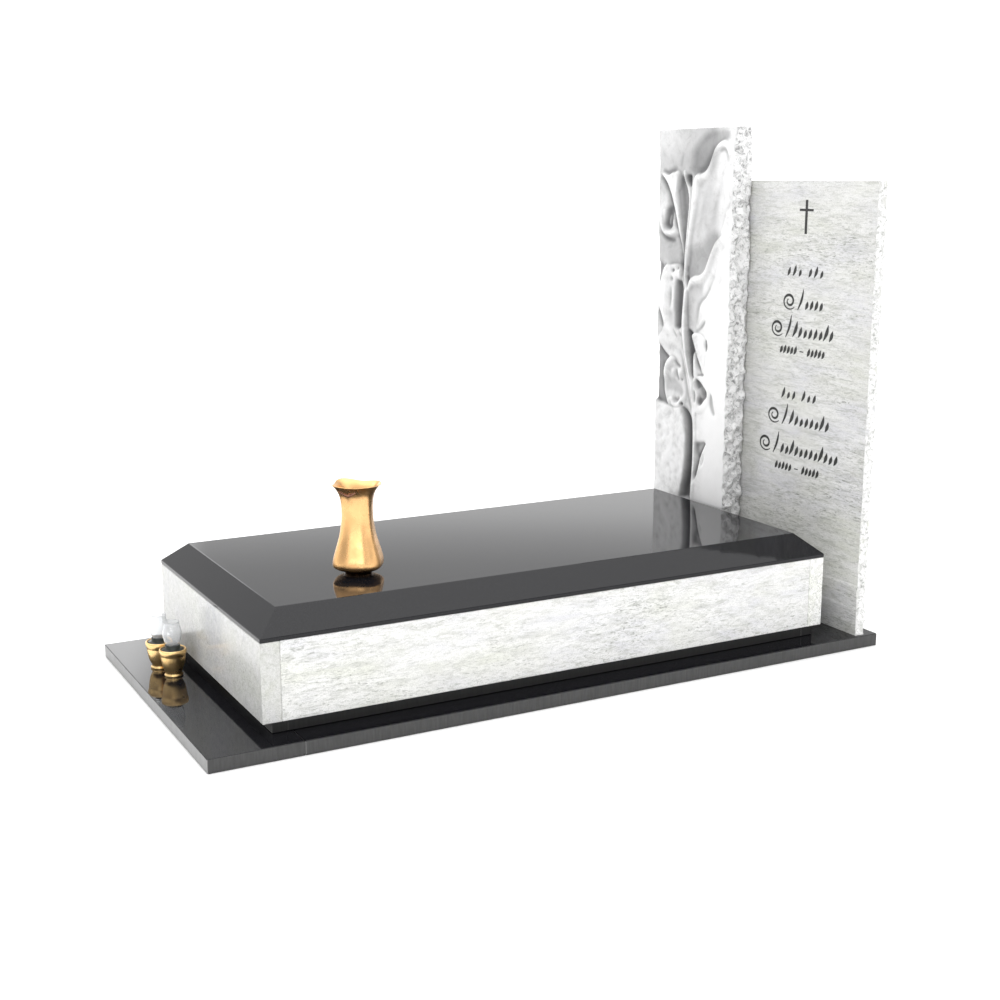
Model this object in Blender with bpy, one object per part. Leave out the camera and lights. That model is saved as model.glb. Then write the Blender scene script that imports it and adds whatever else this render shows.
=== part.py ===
"""Single-grave monument in polished granite: base plate, recessed plinth, kerb,
chamfered ledger, a tall slab carved with calla lilies, a lower slab with a cut
cross and rows of strokes, a bronze vase and two small grave lanterns.

Metres, +Z up. The foot of the grave points to -Y, the headstones stand at +Y
and face -Y. The origin is the middle of the base plate's underside."""

import math

import bpy
import bmesh
import numpy as np

# ------------------------------------------------------------ driving sizes
GAP = 0.0003              # joint between two pieces that touch
ARRIS = 0.0015            # eased polished edges

BASE_LEN = 2.000
BASE_WID = 0.960
BASE_THK = 0.036
BASE_FRONT_LEN = 0.238    # full-width front slab
BASE_SIDE_WID = 0.180
BASE_REAR_LEN = 0.240     # between the side slabs, carries the headstones

PLINTH_FRONT_Y = -0.8155
PLINTH_REAR_Y = 0.8260
PLINTH_HALF_WID = 0.399
PLINTH_THK = 0.040
PLINTH_HGT = 0.0320

KERB_FRONT_Y = -0.8435
KERB_REAR_Y = 0.8430
KERB_HALF_WID = 0.416
KERB_THK = 0.049
KERB_HGT = 0.200

LEDGER_HGT = 0.0650
LEDGER_EDGE = 0.0100      # upright rim below the chamfer
LEDGER_CHAMFER = 0.0630   # seen from above, on all four sides

RELIEF_X0, RELIEF_X1 = -0.4640, -0.0820
RELIEF_FRONT_Y = 0.8445   # highest carving
RELIEF_GROUND = 0.0300    # depth of the deepest ground below it
RELIEF_BACK_Y = 0.9240
RELIEF_TOP = 1.4780
RELIEF_FOOT = 0.3000      # the carving starts above the ledger's line

TEXT_X0, TEXT_X1 = -0.200, 0.4680
TEXT_FRONT_Y = 0.9270
TEXT_THK = 0.0320
TEXT_TOP = 1.3200
STROKE_DEPTH = 0.0025

VASE_AT = (0.157, -0.484)
VASE_HGT = 0.2330
VASE_WALL = 0.0025

LANTERN_SPOTS = (("lantern_left", (-0.2095, -0.9150)), ("lantern_right", (-0.1275, -0.9010)))

Z_BASE = BASE_THK
Z_PLINTH = Z_BASE + GAP
Z_KERB = Z_PLINTH + PLINTH_HGT + GAP
Z_LEDGER = Z_KERB + KERB_HGT + GAP
Z_TOP = Z_LEDGER + LEDGER_HGT
Y_FOOT = -BASE_LEN / 2
Y_HEAD = BASE_LEN / 2

for old in list(bpy.data.objects):
    bpy.data.objects.remove(old, do_unlink=True)


# ---------------------------------------------------------------- materials
def material(name, colour, rough, metal=0.0, glass=0.0):
    m = bpy.data.materials.new(name)
    m.use_nodes = True
    b = m.node_tree.nodes["Principled BSDF"]
    b.inputs["Base Color"].default_value = (*colour, 1.0)
    b.inputs["Roughness"].default_value = rough
    b.inputs["Metallic"].default_value = metal
    b.inputs["Transmission Weight"].default_value = glass
    m.diffuse_color = (*colour, 1.0)
    return m


def black_granite(name):
    return material(name, (0.012, 0.012, 0.014), 0.06)


def white_granite(name):
    return material(name, (0.72, 0.73, 0.70), 0.25)


# ------------------------------------------------------------------ helpers
def add(name, bm, mat, at=(0, 0, 0), smooth=None):
    bmesh.ops.recalc_face_normals(bm, faces=bm.faces)
    me = bpy.data.meshes.new(name)
    bm.to_mesh(me)
    bm.free()
    me.materials.append(mat)
    if smooth is not None:
        me.shade_smooth()
        me.set_sharp_from_angle(angle=math.radians(smooth))
    ob = bpy.data.objects.new(name, me)
    ob.location = at
    bpy.context.collection.objects.link(ob)
    return ob


def slab(name, x0, x1, y0, y1, z0, z1, mat, arris=ARRIS):
    """Sawn block with eased edges, placed by its middle."""
    bm = bmesh.new()
    bmesh.ops.create_cube(bm, size=1.0)
    for v in bm.verts:
        v.co.x *= x1 - x0
        v.co.y *= y1 - y0
        v.co.z *= z1 - z0
    bmesh.ops.bevel(bm, geom=list(bm.edges), offset=arris, segments=1, profile=0.5, affect='EDGES')
    return add(name, bm, mat, ((x0 + x1) / 2, (y0 + y1) / 2, (z0 + z1) / 2))


def turned(bm, rings, close_loop):
    """Skin rings of points; close_loop joins the last ring to the first, else both ends are capped."""
    rows = [[bm.verts.new(p) for p in ring] for ring in rings]
    n = len(rows[0])
    pairs = list(zip(rows, rows[1:]))
    if close_loop:
        pairs.append((rows[-1], rows[0]))
    for a, b in pairs:
        for i in range(n):
            j = (i + 1) % n
            bm.faces.new((a[i], a[j], b[j], b[i]))
    if not close_loop:
        bm.faces.new(rows[0][::-1])
        bm.faces.new(rows[-1])


def circle(r, z, n, wave=None):
    out = []
    for i in range(n):
        a = 2 * math.pi * i / n
        rr, zz = (r, z) if wave is None else wave(r, z, a)
        out.append((rr * math.cos(a), rr * math.sin(a), zz))
    return out


def lerp_profile(knots, n):
    """Smooth curve through (z, r) knots, n samples a span."""
    p = [np.array(k, float) for k in knots]
    out = []
    for i in range(len(p) - 1):
        a, b = p[max(i - 1, 0)], p[i]
        c, d = p[i + 1], p[min(i + 2, len(p) - 1)]
        for k in range(n):
            t = k / n
            out.append(0.5 * (2 * b + (c - a) * t + (2 * a - 5 * b + 4 * c - d) * t * t
                              + (3 * b - a - 3 * c + d) * t ** 3))
    out.append(p[-1])
    return out


# --------------------------------------------------------------- base plate
half = BASE_WID / 2
y_split = Y_FOOT + BASE_FRONT_LEN
inner = half - BASE_SIDE_WID
base_mat = black_granite("base_black_granite")
slab("base_front_slab", -half, half, Y_FOOT, y_split, 0, BASE_THK, base_mat)
slab("base_right_slab", inner, half, y_split + GAP, Y_HEAD, 0, BASE_THK, black_granite("base_right_granite"))
slab("base_left_slab", -half, -inner, y_split + GAP, Y_HEAD, 0, BASE_THK, black_granite("base_left_granite"))
slab("base_rear_slab", -inner + GAP, inner - GAP, Y_HEAD - BASE_REAR_LEN, Y_HEAD, 0, BASE_THK,
     black_granite("base_rear_granite"))

# ------------------------------------------------------------------- plinth
z0, z1 = Z_PLINTH, Z_PLINTH + PLINTH_HGT
pw = PLINTH_HALF_WID
slab("plinth_front", -pw, pw, PLINTH_FRONT_Y, PLINTH_FRONT_Y + PLINTH_THK, z0, z1, black_granite("plinth_front_granite"))
slab("plinth_rear", -pw, pw, PLINTH_REAR_Y - PLINTH_THK, PLINTH_REAR_Y, z0, z1, black_granite("plinth_rear_granite"))
for side, s in (("right", 1), ("left", -1)):
    xa, xb = sorted((s * pw, s * (pw - PLINTH_THK)))
    slab("plinth_" + side, xa, xb, PLINTH_FRONT_Y + PLINTH_THK + GAP, PLINTH_REAR_Y - PLINTH_THK - GAP, z0, z1,
         black_granite("plinth_%s_granite" % side))

# --------------------------------------------------------------------- kerb
z0, z1 = Z_KERB, Z_KERB + KERB_HGT
kw = KERB_HALF_WID
slab("kerb_front", -kw, kw, KERB_FRONT_Y, KERB_FRONT_Y + KERB_THK, z0, z1, white_granite("kerb_front_granite"))
slab("kerb_rear", -kw, kw, KERB_REAR_Y - KERB_THK, KERB_REAR_Y, z0, z1, white_granite("kerb_rear_granite"))
for side, s in (("right", 1), ("left", -1)):
    xa, xb = sorted((s * kw, s * (kw - KERB_THK)))
    slab("kerb_" + side, xa, xb, KERB_FRONT_Y + KERB_THK + GAP, KERB_REAR_Y - KERB_THK - GAP, z0, z1,
         white_granite("kerb_%s_granite" % side))


# ------------------------------------------------------------------- ledger
def ledger():
    bm = bmesh.new()
    rings = []
    for inset, z in ((0, 0), (0, LEDGER_EDGE), (LEDGER_CHAMFER, LEDGER_HGT)):
        x, ya, yb = kw - inset, KERB_FRONT_Y + inset, KERB_REAR_Y - inset
        rings.append([bm.verts.new(p) for p in ((-x, ya, z), (x, ya, z), (x, yb, z), (-x, yb, z))])
    for a, b in zip(rings, rings[1:]):
        for i in range(4):
            j = (i + 1) % 4
            bm.faces.new((a[i], a[j], b[j], b[i]))
    bm.faces.new(rings[0][::-1])
    bm.faces.new(rings[-1])
    bmesh.ops.bevel(bm, geom=list(bm.edges), offset=0.0010, segments=1, profile=0.5, affect='EDGES')
    return add("ledger", bm, black_granite("ledger_black_granite"), (0, 0, Z_LEDGER))


ledger()

# ---------------------------------------------------------------- lily relief
# A height field, in metres above the deepest ground of the carved face, on a
# regular grid over the slab's width (x) and height (z).
CARVE_X = (-0.4760, -0.0700)
CARVE_Z = (0.2800, 1.4900)


def spline(pts, n, closed=False):
    """Catmull-Rom curve through the given points, n samples a span."""
    p = np.asarray(pts, float)
    m = len(p)
    out = []
    for i in range(m if closed else m - 1):
        if closed:
            a, b, c, d = p[(i - 1) % m], p[i], p[(i + 1) % m], p[(i + 2) % m]
        else:
            a, b, c, d = p[max(i - 1, 0)], p[i], p[i + 1], p[min(i + 2, m - 1)]
        for k in range(n):
            t = k / n
            out.append(0.5 * ((2 * b) + (c - a) * t + (2 * a - 5 * b + 4 * c - d) * t * t
                              + (3 * b - a - 3 * c + d) * t ** 3))
    if not closed:
        out.append(p[-1])
    return np.array(out)


def step(a, b, x):
    t = np.clip((x - a) / (b - a), 0.0, 1.0)
    return t * t * (3 - 2 * t)


def nearest(X, Z, line, closed=False):
    """Distance to a polyline and the running position (0..1) of the nearest point."""
    best = np.full(X.shape, 1e9)
    par = np.zeros(X.shape)
    m = len(line)
    seg = m if closed else m - 1
    for i in range(seg):
        ax, az = line[i][0], line[i][1]
        bx, bz = line[(i + 1) % m][0], line[(i + 1) % m][1]
        dx, dz = bx - ax, bz - az
        t = np.clip(((X - ax) * dx + (Z - az) * dz) / (dx * dx + dz * dz + 1e-15), 0, 1)
        ex, ez = X - ax - t * dx, Z - az - t * dz
        dist = ex * ex + ez * ez
        hit = dist < best
        best = np.where(hit, dist, best)
        par = np.where(hit, (i + t) / seg, par)
    return np.sqrt(best), par


def inside(X, Z, line):
    """Even-odd test against a closed polyline."""
    odd = np.zeros(X.shape, bool)
    m = len(line)
    for i in range(m):
        ax, az = line[i][0], line[i][1]
        bx, bz = line[(i + 1) % m][0], line[(i + 1) % m][1]
        if az == bz:
            continue
        odd ^= ((az > Z) != (bz > Z)) & (X < (bx - ax) * (Z - az) / (bz - az) + ax)
    return odd


def blurred(h, cells):
    """Separable Gaussian, its sigma given in grid cells."""
    r = max(1, int(3 * cells + 0.5))
    k = np.exp(-0.5 * (np.arange(-r, r + 1) / cells) ** 2)
    k /= k.sum()
    for axis in (0, 1):
        pad = [(r, r) if a == axis else (0, 0) for a in (0, 1)]
        big = np.pad(h, pad, mode="edge")
        n = h.shape[axis]
        h = sum(w * (big[i:i + n] if axis == 0 else big[:, i:i + n]) for i, w in enumerate(k))
    return h


class Carving:
    """Leaves, funnels, ridges and hollows laid over each other on a grid."""

    def __init__(self, pitch):
        self.pitch = pitch
        self.x = np.arange(CARVE_X[0], CARVE_X[1] + pitch / 2, pitch)
        self.z = np.arange(CARVE_Z[0], CARVE_Z[1] + pitch / 2, pitch)
        self.X, self.Z = np.meshgrid(self.x, self.z)
        self.H = np.zeros(self.X.shape)

    def window(self, pts, margin):
        p = np.asarray(pts, float)
        i0 = max(0, int((p[:, 0].min() - margin - self.x[0]) / self.pitch))
        i1 = max(i0 + 2, int((p[:, 0].max() + margin - self.x[0]) / self.pitch) + 2)
        j0 = max(0, int((p[:, 1].min() - margin - self.z[0]) / self.pitch))
        j1 = max(j0 + 2, int((p[:, 1].max() + margin - self.z[0]) / self.pitch) + 2)
        return slice(j0, j1), slice(i0, i1)

    def form(self, pts, base, soft=0.004, tilt=(0, 0, 0, 0)):
        """A form with its own level and outline; soft is half the width of its edge."""
        line = spline(pts, 6, True)
        s = self.window(line, 2 * soft)
        X, Z = self.X[s], self.Z[s]
        d, _ = nearest(X, Z, line, True)
        d = np.where(inside(X, Z, line), d, -d)
        w = step(-soft, soft, d)
        x0, z0, gx, gz = tilt
        self.H[s] = self.H[s] * (1 - w) + (base + (X - x0) * gx + (Z - z0) * gz) * w

    def swell(self, pts, rise, blur):
        """Adds a soft-edged plateau (rise > 0) or hollow (rise < 0)."""
        line = spline(pts, 6, True)
        s = self.window(line, 4 * blur)
        m = inside(self.X[s], self.Z[s], line).astype(float)
        self.H[s] = self.H[s] + rise * blurred(m, blur / self.pitch)

    def ridge(self, pts, width, rise):
        """Adds a ridge (rise > 0) or furrow (rise < 0) along a curve; width and rise may vary along it."""
        wide = np.atleast_1d(width).astype(float)
        high = np.atleast_1d(rise).astype(float)
        if len(high) == 1:
            high = high * np.array([0.0, 0.75, 1.0, 1.0, 0.75, 0.0])
        line = spline(pts, 8)
        s = self.window(line, 2.6 * wide.max())
        d, par = nearest(self.X[s], self.Z[s], line)
        w = np.interp(par, np.linspace(0, 1, len(wide)), wide)
        h = np.interp(par, np.linspace(0, 1, len(high)), high)
        self.H[s] = self.H[s] + h * np.exp(-(d / w) ** 2)

    def dot(self, x, z, r, rise):
        s = self.window([(x, z)], 3 * r)
        d2 = (self.X[s] - x) ** 2 + (self.Z[s] - z) ** 2
        self.H[s] = self.H[s] + rise * np.exp(-d2 / (r * r))

    def stem(self, pts, half, high, soft=0.0022):
        """Round stem: pts along its middle, half widths and crown heights along it."""
        line = spline(pts, 8)
        s = self.window(line, max(half) + 2 * soft)
        d, par = nearest(self.X[s], self.Z[s], line)
        w = np.interp(par, np.linspace(0, 1, len(half)), half)
        top = np.interp(par, np.linspace(0, 1, len(high)), high)
        q = np.clip(d / w, 0, 1)
        h = top - (0.50 * w + 0.12 * top) * (1 - (1 - q * q) ** 0.5)
        k = step(-soft, soft, w - d)
        self.H[s] = np.maximum(self.H[s], self.H[s] * (1 - k) + h * k)


def carve(pitch):
    c = Carving(pitch)
    X, Z = c.X, c.Z
    # ground, higher towards the slab's top, with a dressed unevenness
    c.H = 0.0165 + 0.0045 * step(1.36, 1.44, Z) - 0.0035 * step(1.16, 1.12, Z) * step(1.00, 1.06, Z)
    c.H = c.H + 0.0006 * np.sin(31 * X + 9 * Z) * np.sin(17 * Z - 4 * X)
    c.swell([(-0.305, 1.345), (-0.285, 1.37), (-0.270, 1.42), (-0.20, 1.465), (-0.14, 1.47), (-0.10, 1.455),
             (-0.17, 1.41), (-0.20, 1.37), (-0.25, 1.330)], -0.0065, 0.009)
    c.ridge([(-0.275, 1.352), (-0.235, 1.358), (-0.205, 1.385), (-0.180, 1.425)], 0.011, -0.0040)
    c.swell([(-0.48, 1.055), (-0.436, 1.050), (-0.448, 1.00), (-0.48, 0.96)], -0.0075, 0.006)
    # tall spathe: level, rolled left and upper edges, shallow folds, shade under the next spathe
    c.form([(-0.316, 1.04), (-0.312, 1.10), (-0.303, 1.16), (-0.295, 1.22), (-0.289, 1.27), (-0.283, 1.315),
            (-0.270, 1.338), (-0.245, 1.341), (-0.220, 1.350), (-0.200, 1.368), (-0.186, 1.392), (-0.172, 1.418),
            (-0.150, 1.434), (-0.128, 1.439), (-0.108, 1.430), (-0.080, 1.41), (-0.05, 1.30), (-0.05, 1.0),
            (-0.2, 0.95), (-0.3, 0.97)], 0.0185, 0.0045, (-0.2, 1.22, 0.020, 0.006))
    c.ridge([(-0.308, 1.06), (-0.300, 1.13), (-0.288, 1.19), (-0.277, 1.25), (-0.267, 1.30), (-0.258, 1.325)],
            [0.006, 0.008, 0.011, 0.014, 0.018, 0.016], [0.004, 0.0055, 0.0065, 0.0070, 0.0065, 0.0045])
    c.ridge([(-0.262, 1.325), (-0.235, 1.330), (-0.210, 1.343), (-0.192, 1.366), (-0.177, 1.395), (-0.158, 1.418),
             (-0.135, 1.428), (-0.115, 1.422), (-0.104, 1.40)],
            [0.012, 0.012, 0.011, 0.011, 0.012, 0.010, 0.0065, 0.005, 0.004],
            [0.0040, 0.0045, 0.0045, 0.0050, 0.0050, 0.0050, 0.0055, 0.0040, 0.0010])
    c.ridge([(-0.150, 1.405), (-0.130, 1.412), (-0.114, 1.400), (-0.107, 1.370)], 0.006, -0.0028)
    c.ridge([(-0.262, 1.10), (-0.245, 1.18), (-0.225, 1.25), (-0.20, 1.31)], 0.013, -0.0013)
    c.ridge([(-0.225, 1.12), (-0.205, 1.19), (-0.180, 1.26), (-0.155, 1.33)], 0.013, 0.0010)
    c.ridge([(-0.180, 1.17), (-0.165, 1.23), (-0.145, 1.29), (-0.125, 1.34)], 0.013, -0.0012)
    c.swell([(-0.305, 1.02), (-0.24, 1.04), (-0.205, 1.07), (-0.17, 1.12), (-0.145, 1.155), (-0.165, 1.165),
             (-0.20, 1.145), (-0.24, 1.12), (-0.30, 1.10)], -0.0052, 0.012)
    # furrow left of the slender bud, the bud's funnel and its flared lip
    c.ridge([(-0.452, 1.330), (-0.430, 1.312), (-0.408, 1.285), (-0.395, 1.250), (-0.377, 1.205), (-0.361, 1.165),
             (-0.346, 1.125), (-0.338, 1.08)], 0.0080, [-0.004, -0.0070, -0.0070, -0.0060, -0.005, -0.004, -0.003, 0])
    c.stem([(-0.331, 1.06), (-0.334, 1.12), (-0.345, 1.17), (-0.360, 1.23), (-0.376, 1.28), (-0.390, 1.325)],
           [0.0045, 0.0060, 0.0095, 0.0150, 0.0220, 0.0290], [0.0160, 0.0195, 0.0225, 0.0245, 0.0252, 0.0235], 0.005)
    c.form([(-0.449, 1.344), (-0.430, 1.328), (-0.410, 1.306), (-0.396, 1.286), (-0.380, 1.280), (-0.360, 1.290),
            (-0.352, 1.315), (-0.352, 1.335), (-0.362, 1.347), (-0.380, 1.344), (-0.400, 1.337), (-0.420, 1.336)],
           0.0248, 0.0060)
    c.ridge([(-0.444, 1.342), (-0.420, 1.331), (-0.400, 1.331), (-0.380, 1.337), (-0.362, 1.339)], 0.0050, 0.0022)
    c.ridge([(-0.446, 1.354), (-0.420, 1.347), (-0.395, 1.352), (-0.365, 1.361)], 0.0075, -0.0038)
    c.ridge([(-0.350, 1.36), (-0.343, 1.385), (-0.330, 1.41)], 0.008, -0.0015)
    # open bloom with its throat and the shade under it
    c.form([(-0.466, 1.26), (-0.447, 1.283), (-0.427, 1.273), (-0.407, 1.250), (-0.392, 1.222), (-0.374, 1.182),
            (-0.358, 1.152), (-0.385, 1.146), (-0.415, 1.145), (-0.440, 1.156), (-0.460, 1.19)], 0.0178, 0.0045)
    c.swell([(-0.445, 1.245), (-0.425, 1.250), (-0.412, 1.235), (-0.425, 1.21), (-0.443, 1.22)], 0.0030, 0.007)
    c.ridge([(-0.455, 1.230), (-0.449, 1.190), (-0.433, 1.163), (-0.410, 1.154), (-0.385, 1.156), (-0.360, 1.163)],
            0.0075, [0.0015, 0.0050, 0.0070, 0.0070, 0.0055, 0.0015])
    c.ridge([(-0.383, 1.180), (-0.387, 1.200), (-0.392, 1.222)], 0.005, 0.003)
    c.swell([(-0.427, 1.185), (-0.419, 1.172), (-0.402, 1.169), (-0.391, 1.184), (-0.388, 1.210), (-0.395, 1.240),
             (-0.408, 1.230), (-0.420, 1.205)], -0.0115, 0.0045)
    c.ridge([(-0.414, 1.180), (-0.411, 1.195), (-0.405, 1.215)], 0.0042, 0.0045)
    c.ridge([(-0.458, 1.160), (-0.430, 1.141), (-0.400, 1.134), (-0.370, 1.133)], 0.0070, -0.0055)
    # hollow between the buds, thin petal, small dark throat
    c.swell([(-0.347, 1.325), (-0.330, 1.335), (-0.312, 1.30), (-0.303, 1.27), (-0.305, 1.23), (-0.313, 1.18),
             (-0.320, 1.10), (-0.325, 1.05), (-0.341, 1.05), (-0.339, 1.08), (-0.332, 1.12), (-0.331, 1.18),
             (-0.336, 1.23), (-0.345, 1.28)], -0.0082, 0.0055)
    c.stem([(-0.315, 1.02), (-0.314, 1.10), (-0.307, 1.18), (-0.301, 1.23), (-0.2985, 1.265), (-0.305, 1.295),
            (-0.318, 1.318), (-0.330, 1.346)],
           [0.0075, 0.0060, 0.0050, 0.0042, 0.0042, 0.0050, 0.0062, 0.0065],
           [0.0215, 0.0205, 0.0200, 0.0205, 0.0215, 0.0222, 0.0225, 0.0205], 0.003)
    c.swell([(-0.318, 1.330), (-0.308, 1.337), (-0.299, 1.332), (-0.297, 1.315), (-0.298, 1.300), (-0.305, 1.308),
             (-0.314, 1.317)], -0.0165, 0.0038)
    # lower spathe: level, rolled upper edge, running out into the plain right side
    c.form([(-0.300, 0.80), (-0.299, 0.90), (-0.303, 0.96), (-0.298, 1.00), (-0.285, 1.018), (-0.262, 1.026),
            (-0.235, 1.030), (-0.213, 1.046), (-0.198, 1.075), (-0.182, 1.105), (-0.165, 1.132), (-0.145, 1.146),
            (-0.125, 1.162), (-0.108, 1.198), (-0.093, 1.240), (-0.04, 1.27), (-0.04, 0.24), (-0.262, 0.24),
            (-0.250, 0.50), (-0.280, 0.66)], 0.0208, 0.0042, (-0.20, 0.9, 0.022, -0.003))
    c.ridge([(-0.297, 0.985), (-0.284, 1.004), (-0.262, 1.013), (-0.235, 1.018), (-0.207, 1.034), (-0.189, 1.065),
             (-0.174, 1.095), (-0.157, 1.121), (-0.136, 1.133)],
            [0.006, 0.010, 0.012, 0.011, 0.011, 0.010, 0.008, 0.006, 0.005],
            [0.0040, 0.0055, 0.0060, 0.0060, 0.0055, 0.0050, 0.0045, 0.0030, 0.0010])
    c.ridge([(-0.130, 1.158), (-0.112, 1.190), (-0.096, 1.238)], 0.007, 0.0030)
    c.swell([(-0.292, 0.99), (-0.25, 0.998), (-0.215, 0.99), (-0.235, 0.93), (-0.248, 0.85), (-0.288, 0.83)],
            -0.0034, 0.009)
    c.ridge([(-0.247, 0.87), (-0.242, 0.925), (-0.225, 0.950), (-0.203, 0.966), (-0.182, 0.992), (-0.163, 1.025),
             (-0.145, 1.065)], 0.0085, [0, -0.0024, -0.0034, -0.0034, -0.0024, -0.0014, 0])
    c.ridge([(-0.232, 0.90), (-0.218, 0.932), (-0.193, 0.952), (-0.168, 0.982)], 0.009, 0.0014)
    c.ridge([(-0.254, 0.852), (-0.233, 0.860), (-0.212, 0.875), (-0.197, 0.895)], 0.0065, -0.0032)
    c.ridge([(-0.235, 0.872), (-0.217, 0.886), (-0.203, 0.905)], 0.006, 0.0020)
    # hooded bloom, middle left, running down into a stalk that joins the main stem
    c.form([(-0.345, 1.000), (-0.338, 1.02), (-0.336, 1.045), (-0.350, 1.056), (-0.375, 1.057), (-0.400, 1.053),
            (-0.423, 1.051), (-0.438, 1.030), (-0.450, 1.000), (-0.461, 0.96), (-0.457, 0.920), (-0.442, 0.895),
            (-0.430, 0.868), (-0.433, 0.843), (-0.450, 0.825), (-0.466, 0.798), (-0.436, 0.777), (-0.400, 0.761),
            (-0.370, 0.768), (-0.335, 0.745), (-0.310, 0.70), (-0.285, 0.645), (-0.262, 0.60), (-0.255, 0.62),
            (-0.268, 0.68), (-0.290, 0.74), (-0.310, 0.80), (-0.330, 0.85), (-0.350, 0.86), (-0.353, 0.93)],
           0.0195, 0.0045)
    c.ridge([(-0.410, 1.045), (-0.420, 1.00), (-0.427, 0.95), (-0.415, 0.90), (-0.400, 0.865), (-0.395, 0.83)],
            [0.020, 0.026, 0.024, 0.022, 0.018, 0.016], [0.0045, 0.0060, 0.0062, 0.0058, 0.0040, 0])
    c.ridge([(-0.372, 0.99), (-0.374, 0.95), (-0.379, 0.90)], 0.0085, 0.0022)
    c.ridge([(-0.388, 0.99), (-0.388, 0.95), (-0.392, 0.915)], 0.0055, -0.0024)
    c.swell([(-0.400, 0.90), (-0.366, 0.915), (-0.362, 0.87), (-0.395, 0.86)], -0.0022, 0.007)
    for x, z, r, rise in ((-0.370, 1.022, 0.011, 0.0040), (-0.343, 1.034, 0.009, 0.0045), (-0.345, 1.012, 0.008, 0.003),
                          (-0.378, 1.038, 0.0065, -0.0060), (-0.352, 1.046, 0.0055, -0.0055),
                          (-0.384, 1.012, 0.0075, -0.0036), (-0.426, 1.053, 0.006, -0.003)):
        c.dot(x, z, r, rise)
    c.ridge([(-0.466, 0.915), (-0.450, 0.892), (-0.438, 0.865), (-0.436, 0.85)], 0.0075, -0.0050)
    c.ridge([(-0.375, 0.853), (-0.362, 0.836), (-0.347, 0.824)], 0.0042, -0.0030)
    c.ridge([(-0.346, 0.851), (-0.334, 0.838), (-0.326, 0.830)], 0.0042, -0.0032)
    c.ridge([(-0.362, 0.856), (-0.350, 0.843), (-0.337, 0.832)], 0.0040, 0.0030)
    c.ridge([(-0.425, 0.80), (-0.395, 0.79), (-0.355, 0.79), (-0.325, 0.76)], 0.012, -0.0018)
    c.ridge([(-0.338, 0.795), (-0.320, 0.760), (-0.306, 0.715), (-0.291, 0.670), (-0.272, 0.620), (-0.256, 0.580)],
            0.0070, -0.0036)
    # hollow between the hooded bloom and the stem
    c.swell([(-0.355, 1.005), (-0.338, 1.005), (-0.331, 0.98), (-0.333, 0.93), (-0.335, 0.88), (-0.341, 0.857),
             (-0.357, 0.856), (-0.360, 0.90), (-0.357, 0.95)], -0.0140, 0.0048)
    # deep ground at the left edge
    c.swell([(-0.49, 0.815), (-0.452, 0.796), (-0.430, 0.777), (-0.412, 0.765), (-0.392, 0.758), (-0.402, 0.745),
             (-0.418, 0.725), (-0.425, 0.69), (-0.424, 0.66), (-0.415, 0.635), (-0.398, 0.602), (-0.43, 0.604),
             (-0.49, 0.61)], -0.0095, 0.0050)
    c.ridge([(-0.455, 0.795), (-0.430, 0.770), (-0.404, 0.758)], 0.0080, -0.0045)
    c.ridge([(-0.436, 0.745), (-0.434, 0.70), (-0.430, 0.655), (-0.414, 0.62)], 0.0080, -0.0038)
    # nodding bloom, lower left, its mouth turned down
    c.form([(-0.398, 0.753), (-0.416, 0.728), (-0.423, 0.700), (-0.419, 0.670), (-0.413, 0.640), (-0.399, 0.608),
            (-0.375, 0.601), (-0.345, 0.604), (-0.318, 0.602), (-0.300, 0.625), (-0.298, 0.665), (-0.315, 0.700),
            (-0.335, 0.735), (-0.365, 0.758)], 0.0188, 0.0042)
    c.ridge([(-0.378, 0.752), (-0.398, 0.730), (-0.406, 0.705), (-0.405, 0.690)], 0.0145, [0.004, 0.0075, 0.006, 0.001])
    c.dot(-0.326, 0.713, 0.0135, 0.0065)
    c.dot(-0.366, 0.713, 0.0090, 0.0032)
    c.ridge([(-0.362, 0.754), (-0.346, 0.738), (-0.328, 0.730)], 0.0055, -0.0052)
    c.ridge([(-0.350, 0.725), (-0.345, 0.703), (-0.334, 0.685)], 0.0065, -0.0042)
    c.ridge([(-0.326, 0.693), (-0.312, 0.690)], 0.0055, -0.0040)
    c.swell([(-0.412, 0.685), (-0.37, 0.690), (-0.335, 0.680), (-0.31, 0.655), (-0.325, 0.636), (-0.36, 0.648),
             (-0.405, 0.650)], -0.0040, 0.007)
    c.ridge([(-0.396, 0.612), (-0.376, 0.622), (-0.364, 0.606), (-0.345, 0.604), (-0.326, 0.620), (-0.306, 0.636)],
            0.0065, [0.002, 0.0048, 0.0048, 0.004, 0.0045, 0.001])
    c.ridge([(-0.358, 0.630), (-0.345, 0.622), (-0.330, 0.634)], 0.0075, -0.0045)
    c.ridge([(-0.326, 0.612), (-0.312, 0.614)], 0.0060, -0.0070)
    c.ridge([(-0.414, 0.675), (-0.409, 0.645), (-0.398, 0.618)], 0.006, 0.0022)
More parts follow.
